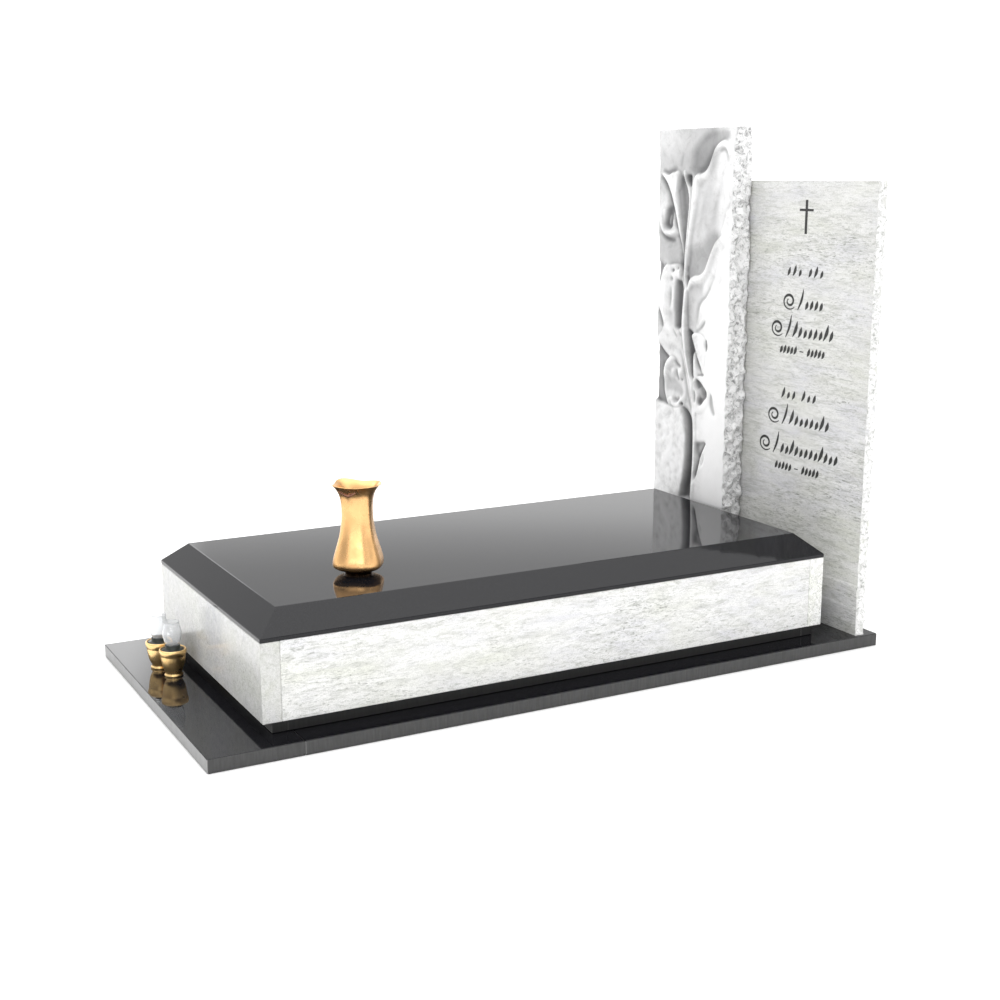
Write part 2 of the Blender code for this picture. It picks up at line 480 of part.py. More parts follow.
    # broad plain leaf at the lower left and the deep groove beside it
    c.form([(-0.54, 0.20), (-0.54, 0.600), (-0.44, 0.601), (-0.400, 0.598), (-0.360, 0.596), (-0.325, 0.600),
            (-0.303, 0.592), (-0.288, 0.572), (-0.281, 0.53), (-0.279, 0.47), (-0.281, 0.41), (-0.293, 0.35),
            (-0.308, 0.24)], 0.0205, 0.0060, (-0.4, 0.45, 0.01, 0.004))
    dress = blurred(np.random.RandomState(5).uniform(-1, 1, X.shape), 0.0065 / pitch)
    c.H = c.H + 0.0007 * dress / dress.std() * step(0.60, 0.575, Z) * step(-0.285, -0.305, X) * 0.6
    c.ridge([(-0.450, 0.36), (-0.40, 0.43), (-0.365, 0.51), (-0.35, 0.58)], 0.018, 0.0010)
    c.swell([(-0.318, 0.600), (-0.295, 0.593), (-0.277, 0.578), (-0.262, 0.548), (-0.253, 0.51), (-0.250, 0.46),
             (-0.253, 0.41), (-0.258, 0.37), (-0.262, 0.33), (-0.266, 0.24), (-0.316, 0.24), (-0.305, 0.33),
             (-0.292, 0.375), (-0.284, 0.42), (-0.281, 0.47), (-0.282, 0.52), (-0.290, 0.56), (-0.303, 0.584)],
            -0.0185, 0.0065)
    # ground sunk beside the right-hand blooms
    c.swell([(-0.290, 0.850), (-0.270, 0.842), (-0.259, 0.825), (-0.248, 0.800), (-0.254, 0.780), (-0.254, 0.740),
             (-0.250, 0.713), (-0.272, 0.710), (-0.281, 0.74), (-0.285, 0.79)], -0.0150, 0.0050)
    c.ridge([(-0.274, 0.81), (-0.270, 0.77), (-0.268, 0.73)], 0.008, -0.0030)
    # main stem, foot to crown
    c.stem([(-0.250, 0.22), (-0.246, 0.34), (-0.240, 0.42), (-0.239, 0.50), (-0.243, 0.57), (-0.252, 0.63),
            (-0.266, 0.69), (-0.284, 0.745), (-0.299, 0.80), (-0.309, 0.86), (-0.310, 0.92), (-0.309, 0.97),
            (-0.3115, 1.03)],
           [0.0120, 0.0125, 0.0125, 0.0125, 0.0115, 0.0105, 0.0105, 0.0125, 0.0150, 0.0165, 0.0125, 0.0090, 0.0070],
           [0.0238, 0.0242, 0.0246, 0.0250, 0.0252, 0.0254, 0.0258, 0.0264, 0.0272, 0.0272, 0.0262, 0.0245, 0.0218],
           0.0055)
    c.swell([(-0.252, 0.24), (-0.240, 0.36), (-0.236, 0.44), (-0.234, 0.52), (-0.238, 0.585), (-0.205, 0.585),
             (-0.205, 0.53), (-0.232, 0.49), (-0.229, 0.44), (-0.236, 0.40), (-0.246, 0.36), (-0.235, 0.30),
             (-0.230, 0.24)], 0.0016, 0.0065)
    c.ridge([(-0.3235, 0.90), (-0.3215, 0.94), (-0.3225, 1.00)], 0.0030, -0.0050)
    c.ridge([(-0.311, 1.025), (-0.304, 1.010), (-0.312, 0.975)], 0.0060, -0.0070)
    # right-hand blooms: petals, slit, cup with its throat
    c.form([(-0.264, 0.840), (-0.240, 0.846), (-0.215, 0.842), (-0.197, 0.828), (-0.191, 0.795), (-0.199, 0.76),
            (-0.206, 0.725), (-0.222, 0.735), (-0.235, 0.765), (-0.247, 0.797)], 0.0240, 0.0038, (-0.22, 0.78, -0.02, 0.03))
    c.form([(-0.255, 0.792), (-0.247, 0.765), (-0.236, 0.735), (-0.234, 0.710), (-0.252, 0.708), (-0.2575, 0.75)],
           0.0235, 0.0028)
    c.ridge([(-0.248, 0.788), (-0.237, 0.763), (-0.224, 0.742), (-0.210, 0.720)], 0.0058, [-0.005, -0.0095, -0.0095, -0.001])
    c.ridge([(-0.246, 0.704), (-0.224, 0.715), (-0.196, 0.721)], 0.0048, -0.0045)
    c.form([(-0.187, 0.828), (-0.170, 0.824), (-0.162, 0.80), (-0.158, 0.76), (-0.148, 0.70), (-0.138, 0.645),
            (-0.165, 0.68), (-0.185, 0.74), (-0.188, 0.79)], 0.0245, 0.006)
    c.ridge([(-0.189, 0.826), (-0.188, 0.812), (-0.187, 0.797)], 0.0048, [-0.004, -0.0085, -0.003])
    c.ridge([(-0.186, 0.775), (-0.172, 0.765), (-0.160, 0.775)], 0.008, -0.0020)
    c.form([(-0.252, 0.702), (-0.222, 0.713), (-0.190, 0.699), (-0.171, 0.672), (-0.171, 0.640), (-0.190, 0.610),
            (-0.222, 0.596), (-0.250, 0.604), (-0.256, 0.655)], 0.0238, 0.0050)
    c.swell([(-0.242, 0.701), (-0.222, 0.696), (-0.202, 0.681), (-0.186, 0.666), (-0.186, 0.649), (-0.200, 0.637),
             (-0.217, 0.620), (-0.229, 0.628), (-0.223, 0.65), (-0.233, 0.672)], -0.0125, 0.0042)
    c.dot(-0.193, 0.660, 0.009, -0.0045)
    c.ridge([(-0.229, 0.676), (-0.219, 0.660), (-0.210, 0.642)], 0.0065, 0.0055)
    c.ridge([(-0.246, 0.668), (-0.245, 0.645), (-0.243, 0.622)], 0.0065, -0.0055)
    c.swell([(-0.159, 0.670), (-0.148, 0.64), (-0.134, 0.600), (-0.150, 0.598), (-0.166, 0.63)], -0.0050, 0.0055)
    # little leaf folded at the foot of the stem
    c.swell([(-0.228, 0.495), (-0.205, 0.503), (-0.183, 0.507), (-0.188, 0.488), (-0.204, 0.470), (-0.213, 0.450),
             (-0.226, 0.462)], -0.0070, 0.0042)
    c.form([(-0.180, 0.499), (-0.180, 0.46), (-0.184, 0.43), (-0.200, 0.411), (-0.224, 0.398), (-0.216, 0.43),
            (-0.205, 0.462), (-0.191, 0.484)], 0.0228, 0.0030)
    c.ridge([(-0.187, 0.470), (-0.194, 0.443), (-0.206, 0.422)], 0.0065, -0.0032)
    c.ridge([(-0.183, 0.502), (-0.200, 0.479), (-0.214, 0.453), (-0.222, 0.424), (-0.232, 0.394), (-0.245, 0.366)],
            [0.003, 0.005, 0.0060, 0.0060, 0.0058, 0.004], [-0.002, -0.0060, -0.0080, -0.0070, -0.0060, -0.001])
    c.H = np.clip(blurred(c.H, 0.0013 / pitch), 0.0, 0.0300)
    return c


def relief(X, Z, pitch=0.0025):
    """Carved heights at the given places, read from the grid."""
    c = carve(pitch)
    X, Z = np.asarray(X, float), np.asarray(Z, float)
    i = np.clip((X - c.x[0]) / pitch, 0, len(c.x) - 1.001)
    j = np.clip((Z - c.z[0]) / pitch, 0, len(c.z) - 1.001)
    a, b = i.astype(int), j.astype(int)
    u, v = i - a, j - b
    H = c.H
    return (H[b, a] * (1 - u) * (1 - v) + H[b, a + 1] * u * (1 - v) + H[b + 1, a] * (1 - u) * v
            + H[b + 1, a + 1] * u * v)


# -------------------------------------------------------------- relief slab
def rough(a, b, seed):
    """Small repeatable unevenness of a rock-faced edge, about -1 to 1."""
    return (math.sin(a * 61.3 + seed) * math.cos(b * 143.0 + 2.1 * seed) + math.sin(a * 147.7 + b * 71.0 + seed)
            + 0.7 * math.sin(a * 289.1 - b * 190.0 + 3 * seed)) / 2.7


RELIEF_COLS = 21
RELIEF_ROWS = 60


def lean(x, z):
    """The slab grows a little wider towards its top, almost all of it on the left."""
    return x - 0.0125 * min(1.0, max(0.0, (z - 0.45) / 1.03)) * (RELIEF_X1 - x) / (RELIEF_X1 - RELIEF_X0)


def relief_slab():
    """Rings of points round the slab, stacked from its foot to its top."""
    z_foot = Z_BASE + GAP
    levels = [z_foot, RELIEF_FOOT - 0.02] + list(np.linspace(RELIEF_FOOT, RELIEF_TOP, RELIEF_ROWS))
    cols = np.linspace(RELIEF_X0, RELIEF_X1, RELIEF_COLS + 1)
    X, Z = np.meshgrid(cols, np.array(levels))
    H = relief(X, Z)
    flat = np.clip((RELIEF_FOOT + 0.012 - Z) / 0.02, 0, 1)
    H = H * (1 - flat) + 0.020 * flat
    ground = RELIEF_FRONT_Y + RELIEF_GROUND
    rings = []
    for k, z in enumerate(levels):
        ring = [(float(x), ground - float(H[k, i]), float(z)) for i, x in enumerate(cols)]
        y_a, y_b = ring[-1][1], RELIEF_BACK_Y
        for j in (1, 2, 3):
            t = j / 4
            ring.append((RELIEF_X1 + 0.0035 + 0.0045 * rough(z, t, 1.0), y_a + (y_b - y_a) * t, float(z)))
        ring.append((RELIEF_X1 - 0.004 + 0.003 * rough(z, 1.0, 5.0), y_b, float(z)))
        ring.append((RELIEF_X0 + 0.003, y_b, float(z)))
        y_a = ring[0][1]
        for j in (2, 1):
            t = j / 3
            ring.append((RELIEF_X0 + 0.0005 - 0.0025 * rough(z, t, 3.0), y_a + (y_b - y_a) * t, float(z)))
        rings.append([(lean(x, zz), y, zz) for x, y, zz in ring])
    bm = bmesh.new()
    turned(bm, rings, False)
    bmesh.ops.triangulate(bm, faces=[f for f in bm.faces if len(f.verts) > 4])
    return add("relief_slab", bm, material("relief_white_stone", (0.80, 0.80, 0.80), 0.35), smooth=50)


relief_slab()


# --------------------------------------------------------- inscription slab
def inscription_slab():
    """Flat polished front and back; the right-hand edge is rock-faced from foot to top."""
    z_foot = Z_BASE + GAP
    rows = 38
    bm = bmesh.new()
    edge = []
    for k in range(rows + 1):
        z = z_foot + (TEXT_TOP - z_foot) * k / rows
        line = []
        for j in range(4):
            t = j / 3
            bulge = 0.0 if j == 0 else (0.0015 + 0.0035 * rough(z, t, 2.0) + (0.0015 if j < 3 else -0.0015))
            start = 0.0008 * rough(z, 0.0, 7.0)
            line.append(bm.verts.new((TEXT_X1 + start + bulge, TEXT_FRONT_Y + TEXT_THK * t, z)))
        edge.append(line)
    left = [bm.verts.new((TEXT_X0, TEXT_FRONT_Y + TEXT_THK * a, z)) for a, z in
            ((0, z_foot), (0, TEXT_TOP), (1, z_foot), (1, TEXT_TOP))]
    for a, b in zip(edge, edge[1:]):
        for j in range(3):
            bm.faces.new((a[j], a[j + 1], b[j + 1], b[j]))
    bm.faces.new([left[0]] + [e[0] for e in edge] + [left[1]])
    bm.faces.new([left[3]] + [e[3] for e in edge[::-1]] + [left[2]])
    bm.faces.new([left[0], left[1], left[3], left[2]])
    bm.faces.new([left[1]] + edge[-1] + [left[3]])
    bm.faces.new([left[2]] + edge[0][::-1] + [left[0]])
    return add("inscription_slab", bm, white_granite("inscription_white_granite"))


def ribbon(bm, mid, widths, y0, y1):
    """Closed bar along a line in the XZ plane, from y0 to y1."""
    left, right = [], []
    for i, (x, z) in enumerate(mid):
        ax, az = mid[max(i - 1, 0)]
        bx, bz = mid[min(i + 1, len(mid) - 1)]
        dx, dz = bx - ax, bz - az
        n = math.hypot(dx, dz)
        w = widths[i] / 2
        left.append((x - dz / n * w, z + dx / n * w))
        right.append((x + dz / n * w, z - dx / n * w))
    loop = left + right[::-1]
    front = [bm.verts.new((x, y0, z)) for x, z in loop]
    back = [bm.verts.new((x, y1, z)) for x, z in loop]
    n = len(loop)
    for i in range(n):
        j = (i + 1) % n
        bm.faces.new((front[i], front[j], back[j], back[i]))
    m = len(mid)
    for side, flip in ((front, 1), (back, -1)):
        for i in range(m - 1):
            quad = (side[i], side[i + 1], side[n - 2 - i], side[n - 1 - i])
            bm.faces.new(quad[::-flip] if flip < 0 else quad)


# Rows of strokes: middle x, foot z, length, height of the tall strokes, number of strokes
ROWS = (
    (0.178, 1.048, 0.125, 0.034, 5),
    (0.174, 0.948, 0.180, 0.050, 5),
    (0.180, 0.868, 0.250, 0.052, 7),
    (0.178, 0.818, 0.215, 0.024, 8),
    (0.172, 0.684, 0.120, 0.034, 5),
    (0.172, 0.606, 0.270, 0.050, 7),
    (0.176, 0.514, 0.340, 0.054, 9),
    (0.176, 0.466, 0.215, 0.024, 8),
)
CROSS_X, CROSS_FOOT, CROSS_TOP, CROSS_BAR_Z, CROSS_SPAN = 0.1735, 1.1690, 1.2665, 1.2375, 0.062
CROSS_W, CROSS_BAR = 0.0115, 0.0070


def strokes():
    """Slanting, swelling strokes that stand in rows like handwriting without being letters."""
    out = []
    for r, (mid, foot, length, tall, count) in enumerate(ROWS):
        for k in range(count):
            t = (k + 0.5) / count
            x = mid - length / 2 + length * t
            high = tall * (1.0 if k == 0 else (0.42, 0.60, 0.42, 0.85)[(k * 3 + r) % 4])
            if tall < 0.03:
                high = tall * (0.8 + 0.2 * ((k + r) % 2))
            slant = 0.42
            bow = 0.16 * high * (1 if (k + r) % 2 else -1)
            n = 4
            line, width = [], []
            for i in range(n + 1):
                s = i / n
                line.append((x + slant * high * (s - 0.5) + bow * math.sin(2 * math.pi * s), foot + high * s))
                width.append((0.0028 + 0.0058 * math.sin(math.pi * s) ** 1.3) * (1.0 if tall > 0.03 else 0.78))
            out.append((line, width))
    return out


def carve_front(target):
    bm = bmesh.new()
    y0, y1 = TEXT_FRONT_Y - 0.01, TEXT_FRONT_Y + STROKE_DEPTH
    for line, width in strokes():
        ribbon(bm, line, width, y0, y1)
    w, s, h = CROSS_W / 2, CROSS_SPAN / 2, CROSS_BAR / 2
    outline = [(-w, CROSS_FOOT), (w, CROSS_FOOT), (w, CROSS_BAR_Z - h), (s, CROSS_BAR_Z - h), (s, CROSS_BAR_Z + h),
               (w, CROSS_BAR_Z + h), (w, CROSS_TOP), (-w, CROSS_TOP), (-w, CROSS_BAR_Z + h), (-s, CROSS_BAR_Z + h),
               (-s, CROSS_BAR_Z - h), (-w, CROSS_BAR_Z - h)]
    front = [bm.verts.new((CROSS_X + x, y0, z)) for x, z in outline]
    back = [bm.verts.new((CROSS_X + x, y1, z)) for x, z in outline]
    for i in range(12):
        j = (i + 1) % 12
        bm.faces.new((front[i], front[j], back[j], back[i]))
    bm.faces.new(front)
    bm.faces.new(back[::-1])
    cutter = add("stroke_cutter", bm, white_granite("cutter"))
    cutter.hide_render = True
    cutter.display_type = 'WIRE'
    cut = target.modifiers.new("strokes", 'BOOLEAN')
    cut.operation = 'DIFFERENCE'
    cut.object = cutter
    cut.solver = 'EXACT'


carve_front(inscription_slab())

# --------------------------------------------------------------------- vase
VASE_TURN = math.radians(-33.0)   # direction of the face that looks down the grave
VASE_OUT = ((0.000, 0.0345), (0.0085, 0.0385), (0.0125, 0.0535), (0.021, 0.0622), (0.032, 0.0631), (0.055, 0.0578),
            (0.085, 0.0495), (0.120, 0.0420), (0.155, 0.0391), (0.185, 0.0400), (0.208, 0.0446), (0.223, 0.0520),
            (VASE_HGT, 0.0608))


def vase_ring(r, z, n):
    """Soft four-sided section growing out of the round foot; the mouth is drawn into four points."""
    out = []
    for i in range(n):
        a = 2 * math.pi * i / n
        th = a - VASE_TURN
        square = min(1.0, max(0.0, (z - 0.008) / 0.014))
        sup = (abs(math.cos(th)) ** 3.2 + abs(math.sin(th)) ** 3.2) ** (-1 / 3.2)
        q = r * (1 + square * (sup - 1))
        k = max(0.0, (z - 0.195) / (VASE_HGT - 0.195)) ** 1.6
        c = -math.cos(4 * th)
        far = max(0.0, math.cos(th - math.radians(135))) ** 2
        q *= 1 + 0.028 * k * c
        out.append((q * math.cos(a), q * math.sin(a), z + k * (0.0014 * c - 0.0045 * far)))
    return out


def vase():
    n = 28
    rings = [vase_ring(r, z, n) for z, r in VASE_OUT]
    rings += [vase_ring(r - VASE_WALL * 1.25, z if z < VASE_HGT else z + 0.0004, n) for z, r in VASE_OUT[::-1]
              if z > 0.0130]
    rings.append(vase_ring(0.034, 0.0105, n))
    bm = bmesh.new()
    turned(bm, rings, False)
    return add("vase", bm, material("vase_bronze", (0.72, 0.43, 0.20), 0.28, 1.0),
               (VASE_AT[0], VASE_AT[1], Z_TOP + GAP), smooth=40)


vase()

# ----------------------------------------------------------------- lanterns
POT_OUT = ((0.000, 0.0240), (0.004, 0.0250), (0.007, 0.0215), (0.012, 0.0220), (0.024, 0.0275), (0.042, 0.0315),
           (0.056, 0.0328), (0.062, 0.0350), (0.068, 0.0362), (0.073, 0.0355))
POT_IN = ((0.073, 0.0315), (0.0690, 0.0308), (0.0682, 0.0275), (0.050, 0.0280), (0.030, 0.0245), (0.016, 0.0180),
          (0.014, 0.0100))
COLLAR = ((0.0693, 0.0125), (0.0693, 0.0292), (0.0735, 0.0292), (0.0745, 0.0205), (0.0850, 0.0197), (0.0850, 0.0176),
          (0.0765, 0.0156), (0.0757, 0.0156), (0.0757, 0.0125))
GLASS_OUT = ((0.0761, 0.0150), (0.084, 0.0160), (0.094, 0.0212), (0.108, 0.0250), (0.122, 0.0250), (0.134, 0.0222),
             (0.142, 0.0205), (0.148, 0.0212))
GLASS_WALL = 0.0016


def lantern(name, at):
    n = 16
    place = (at[0], at[1], Z_BASE + GAP)
    bm = bmesh.new()
    turned(bm, [circle(r, z, n) for z, r in POT_OUT] + [circle(r, z, n) for z, r in POT_IN], False)
    add(name + "_pot", bm, material(name + "_brass", (0.80, 0.56, 0.24), 0.25, 1.0), place, smooth=40)
    bm = bmesh.new()
    turned(bm, [circle(r, z, n) for z, r in COLLAR], True)
    add(name + "_collar", bm, material(name + "_black", (0.01, 0.01, 0.01), 0.4), place, smooth=40)
    bm = bmesh.new()
    wall = [circle(r, z, n) for z, r in GLASS_OUT]
    wall += [circle(r - GLASS_WALL, z, n) for z, r in GLASS_OUT[::-1]]
    turned(bm, wall, True)
    add(name + "_glass", bm, material(name + "_clear", (0.95, 0.97, 0.98), 0.02, 0.0, 1.0), place, smooth=40)


for lantern_name, spot in LANTERN_SPOTS:
    lantern(lantern_name, spot)
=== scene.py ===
import math

import bpy
import bmesh
import numpy as np
from mathutils import Matrix, Vector


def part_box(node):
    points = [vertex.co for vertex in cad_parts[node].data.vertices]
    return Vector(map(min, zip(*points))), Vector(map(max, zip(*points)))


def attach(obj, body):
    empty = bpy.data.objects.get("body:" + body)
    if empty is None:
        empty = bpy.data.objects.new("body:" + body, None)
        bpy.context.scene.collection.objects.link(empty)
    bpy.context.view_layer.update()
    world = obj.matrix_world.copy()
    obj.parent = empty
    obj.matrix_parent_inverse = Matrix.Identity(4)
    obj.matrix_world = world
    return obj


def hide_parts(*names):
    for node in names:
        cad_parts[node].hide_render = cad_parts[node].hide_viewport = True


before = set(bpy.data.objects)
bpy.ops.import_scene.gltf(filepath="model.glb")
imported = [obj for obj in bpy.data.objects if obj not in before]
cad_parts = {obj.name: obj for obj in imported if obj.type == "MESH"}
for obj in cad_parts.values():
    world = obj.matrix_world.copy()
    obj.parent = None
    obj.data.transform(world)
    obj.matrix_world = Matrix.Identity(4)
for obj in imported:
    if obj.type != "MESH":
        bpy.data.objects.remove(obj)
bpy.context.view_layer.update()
scene = bpy.context.scene

# ------------------------------------------------------------ sizes (metres)
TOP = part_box("ledger")[1][2]
BASE_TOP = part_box("base_front_slab")[1][2]


# =========================================================== node helpers
class Mat:
    """A material with a Principled shader and short calls for adding nodes."""

    def __init__(self, name, colour=(0.8, 0.8, 0.8), rough=0.5, metal=0.0, ior=1.5):
        self.m = bpy.data.materials.new(name)
        self.m.use_nodes = True
        self.t = self.m.node_tree
        self.b = self.t.nodes["Principled BSDF"]
        self.b.inputs["Base Color"].default_value = (*colour, 1)
        self.b.inputs["Roughness"].default_value = rough
        self.b.inputs["Metallic"].default_value = metal
        self.b.inputs["IOR"].default_value = ior
        self.m.diffuse_color = (*colour, 1)
        self.co = self.t.nodes.new("ShaderNodeTexCoord")

    def link(self, a, b):
        self.t.links.new(a, b)

    def coords(self, scale=(1, 1, 1), rot=(0, 0, 0), loc=(0, 0, 0)):
        n = self.t.nodes.new("ShaderNodeMapping")
        n.inputs["Scale"].default_value = scale
        n.inputs["Rotation"].default_value = rot
        n.inputs["Location"].default_value = loc
        self.link(self.co.outputs["Object"], n.inputs["Vector"])
        return n.outputs["Vector"]

    def noise(self, vec, scale, detail=4.0, rough=0.55, dist=0.0, kind="FBM"):
        n = self.t.nodes.new("ShaderNodeTexNoise")
        n.inputs["Scale"].default_value = scale
        n.inputs["Detail"].default_value = detail
        n.inputs["Roughness"].default_value = rough
        n.inputs["Distortion"].default_value = dist
        self.link(vec, n.inputs["Vector"])
        return n.outputs["Fac"]

    def voronoi(self, vec, scale, feature="F1", out="Distance"):
        n = self.t.nodes.new("ShaderNodeTexVoronoi")
        n.feature = feature
        n.inputs["Scale"].default_value = scale
        self.link(vec, n.inputs["Vector"])
        return n.outputs[out]

    def ramp(self, fac, stops):
        n = self.t.nodes.new("ShaderNodeValToRGB")
        el = n.color_ramp.elements
        while len(el) > 1:
            el.remove(el[-1])
        el[0].position, el[0].color = stops[0][0], self._c(stops[0][1])
        for p, c in stops[1:]:
            e = el.new(p)
            e.color = self._c(c)
        self.link(fac, n.inputs["Fac"])
        return n.outputs["Color"]

    @staticmethod
    def _c(c):
        return (c, c, c, 1) if isinstance(c, (int, float)) else (*c, 1)

    def mix(self, fac, a, b, kind="MIX"):
        n = self.t.nodes.new("ShaderNodeMix")
        n.data_type = "RGBA"
        n.blend_type = kind
        for sock, val in ((n.inputs["Factor"], fac), (n.inputs[6], a), (n.inputs[7], b)):
            if isinstance(val, bpy.types.NodeSocket):
                self.link(val, sock)
            elif isinstance(val, (int, float)):
                sock.default_value = val
            else:
                sock.default_value = (*val, 1)
        return n.outputs[2]

    def math(self, op, a, b=0.0, c=None):
        n = self.t.nodes.new("ShaderNodeMath")
        n.operation = op
        for i, val in enumerate((a, b) if c is None else (a, b, c)):
            if isinstance(val, bpy.types.NodeSocket):
                self.link(val, n.inputs[i])
            else:
                n.inputs[i].default_value = val
        return n.outputs[0]

    def bump(self, height, strength, distance, normal=None):
        n = self.t.nodes.new("ShaderNodeBump")
        n.inputs["Strength"].default_value = strength
        n.inputs["Distance"].default_value = distance
        self.link(height, n.inputs["Height"])
        if normal is not None:
            self.link(normal, n.inputs["Normal"])
        return n.outputs["Normal"]

    def attr(self, name):
        n = self.t.nodes.new("ShaderNodeAttribute")
        n.attribute_name = name
        return n.outputs["Color"]

    def colour(self, sock):
        self.link(sock, self.b.inputs["Base Color"])

    def rough(self, sock):
        self.link(sock, self.b.inputs["Roughness"])

    def normal(self, sock):
        self.link(sock, self.b.inputs["Normal"])


# ============================================================== materials
def black_granite(name, honed=0.0):
    """Mirror-polished black granite: fine dark crystals with a few paler ones; upright faces may be only honed, and
    those turned to -Y get a lighter grey as painted light.
    """
    m = Mat(name, (0.010, 0.010, 0.012), 0.05, 0.0, 1.38)
    v = m.coords()
    grain = m.noise(v, 420, 3, 0.6)
    cloud = m.noise(v, 9, 3, 0.5)
    base = m.ramp(grain, [(0.30, (0.0035, 0.0035, 0.0042)), (0.62, (0.010, 0.010, 0.012)), (0.80, (0.026, 0.026, 0.030))])
    fleck = m.ramp(m.voronoi(v, 520), [(0.0, 0.55), (0.16, 0.0)])
    base = m.mix(m.math("MULTIPLY", fleck, 0.22), base, (0.06, 0.06, 0.065))
    base = m.mix(m.math("MULTIPLY", cloud, 0.25), base, (0.006, 0.006, 0.009))
    gloss = m.ramp(grain, [(0.35, 0.035), (0.75, 0.085)])
    if honed:
        geo = m.t.nodes.new("ShaderNodeNewGeometry")
        sep = m.t.nodes.new("ShaderNodeSeparateXYZ")
        m.link(geo.outputs["True Normal"], sep.inputs[0])
        upright = m.math("LESS_THAN", m.math("ABSOLUTE", sep.outputs["Z"]), 0.3)
        saw = m.noise(m.coords((1, 1, 0.12)), 160, 4, 0.6)
        grey = m.ramp(saw, [(0.35, honed * 0.85), (0.65, honed * 1.15)])
        # painted light: upright faces turned to -Y get a grey three to four times lighter, as if lit from the front
        front = m.math("LESS_THAN", sep.outputs["Y"], -0.5)
        grey = m.mix(front, grey, m.ramp(saw, [(0.35, honed * 3.2), (0.65, honed * 4.4)]))
        base = m.mix(upright, base, grey)
        gloss = m.mix(upright, gloss, (0.30, 0.30, 0.30))
    m.colour(base)
    m.rough(gloss)
    m.normal(m.bump(m.noise(v, 3.2, 2, 0.4), 0.05, 0.0006))
    return m.m


def white_granite(name, along, shift=(0, 0, 0), long=0.16, body=1.0, dark=1.0):
    """Polished white granite: olive and lavender whites with grey streaks drawn out along one direction; body darkens
    the whole stone, which paints shade onto copies whose faces get less light.
    """
    m = Mat(name, (0.74, 0.74, 0.71), 0.16, 0.0, 1.5)
    s = m.coords(tuple(long if a == along else 1.0 for a in "xyz"), (0, 0, 0), shift)
    wide = m.coords(tuple(0.45 if a == along else 1.0 for a in "xyz"), (0, 0, 0), tuple(2.0 * v for v in shift))
    tone = m.ramp(m.noise(wide, 8.5, 3, 0.5, 0.4), [(0.36, (0.80 * body, 0.81 * body, 0.745 * body)),
                                                   (0.50, (0.83 * body, 0.83 * body, 0.805 * body)),
                                                   (0.64, (0.79 * body, 0.79 * body, 0.815 * body))])
    pale = m.ramp(m.noise(s, 42, 4, 0.6, 0.6), [(0.38, 0.0), (0.62, 1.0)])
    col = m.mix(m.math("MULTIPLY", pale, 0.70), tone, (0.94 * body, 0.94 * body, 0.925 * body))
    band = m.ramp(m.noise(s, 74, 6, 0.65, 0.9), [(0.48, 0.0), (0.68, 1.0)])
    col = m.mix(m.math("MULTIPLY", band, 0.50 * dark), col, (0.40, 0.41, 0.37))
    veil = m.ramp(m.noise(wide, 5.0, 3, 0.5, 0.8), [(0.40, 0.30), (0.62, 1.0)])
    fine = m.ramp(m.noise(s, 215, 5, 0.7, 1.2), [(0.51, 0.0), (0.66, 1.0)])
    col = m.mix(m.math("MULTIPLY", m.math("MULTIPLY", fine, veil), 0.78 * dark), col, (0.19, 0.20, 0.17))
    grains = m.noise(m.coords(), 360, 2, 0.6)
    col = m.mix(0.26, col, m.ramp(grains, [(0.34, 0.35), (0.62, 1.0)]), "MULTIPLY")
    m.colour(col)
    m.rough(m.ramp(grains, [(0.3, 0.11), (0.7, 0.22)]))
    m.normal(m.bump(grains, 0.04, 0.0003))
    return m


def add_rock_face(m, x_from, x_to):
    """Whiter, sparkling, rougher stone where the right-hand edge is pitched off."""
    sep = m.t.nodes.new("ShaderNodeSeparateXYZ")
    m.link(m.co.outputs["Object"], sep.inputs[0])
    n = m.t.nodes.new("ShaderNodeMapRange")
    n.inputs["From Min"].default_value = x_from
    n.inputs["From Max"].default_value = x_to
    m.link(sep.outputs["X"], n.inputs["Value"])
    mask = n.outputs[0]
    old = m.b.inputs["Base Color"].links[0].from_socket
    v = m.coords()
    crystals = m.ramp(m.noise(v, 85, 5, 0.72, 0.8), [(0.35, (0.34, 0.35, 0.33)), (0.47, (0.70, 0.70, 0.69)),
                                                    (0.56, (0.84, 0.84, 0.835))])
    m.colour(m.mix(mask, old, crystals))
    old_r = m.b.inputs["Roughness"].links[0].from_socket
    m.rough(m.mix(mask, old_r, (0.75, 0.75, 0.75)))
    m.normal(m.bump(m.math("MULTIPLY", m.noise(v, 140, 5, 0.7), mask), 0.9, 0.0018))


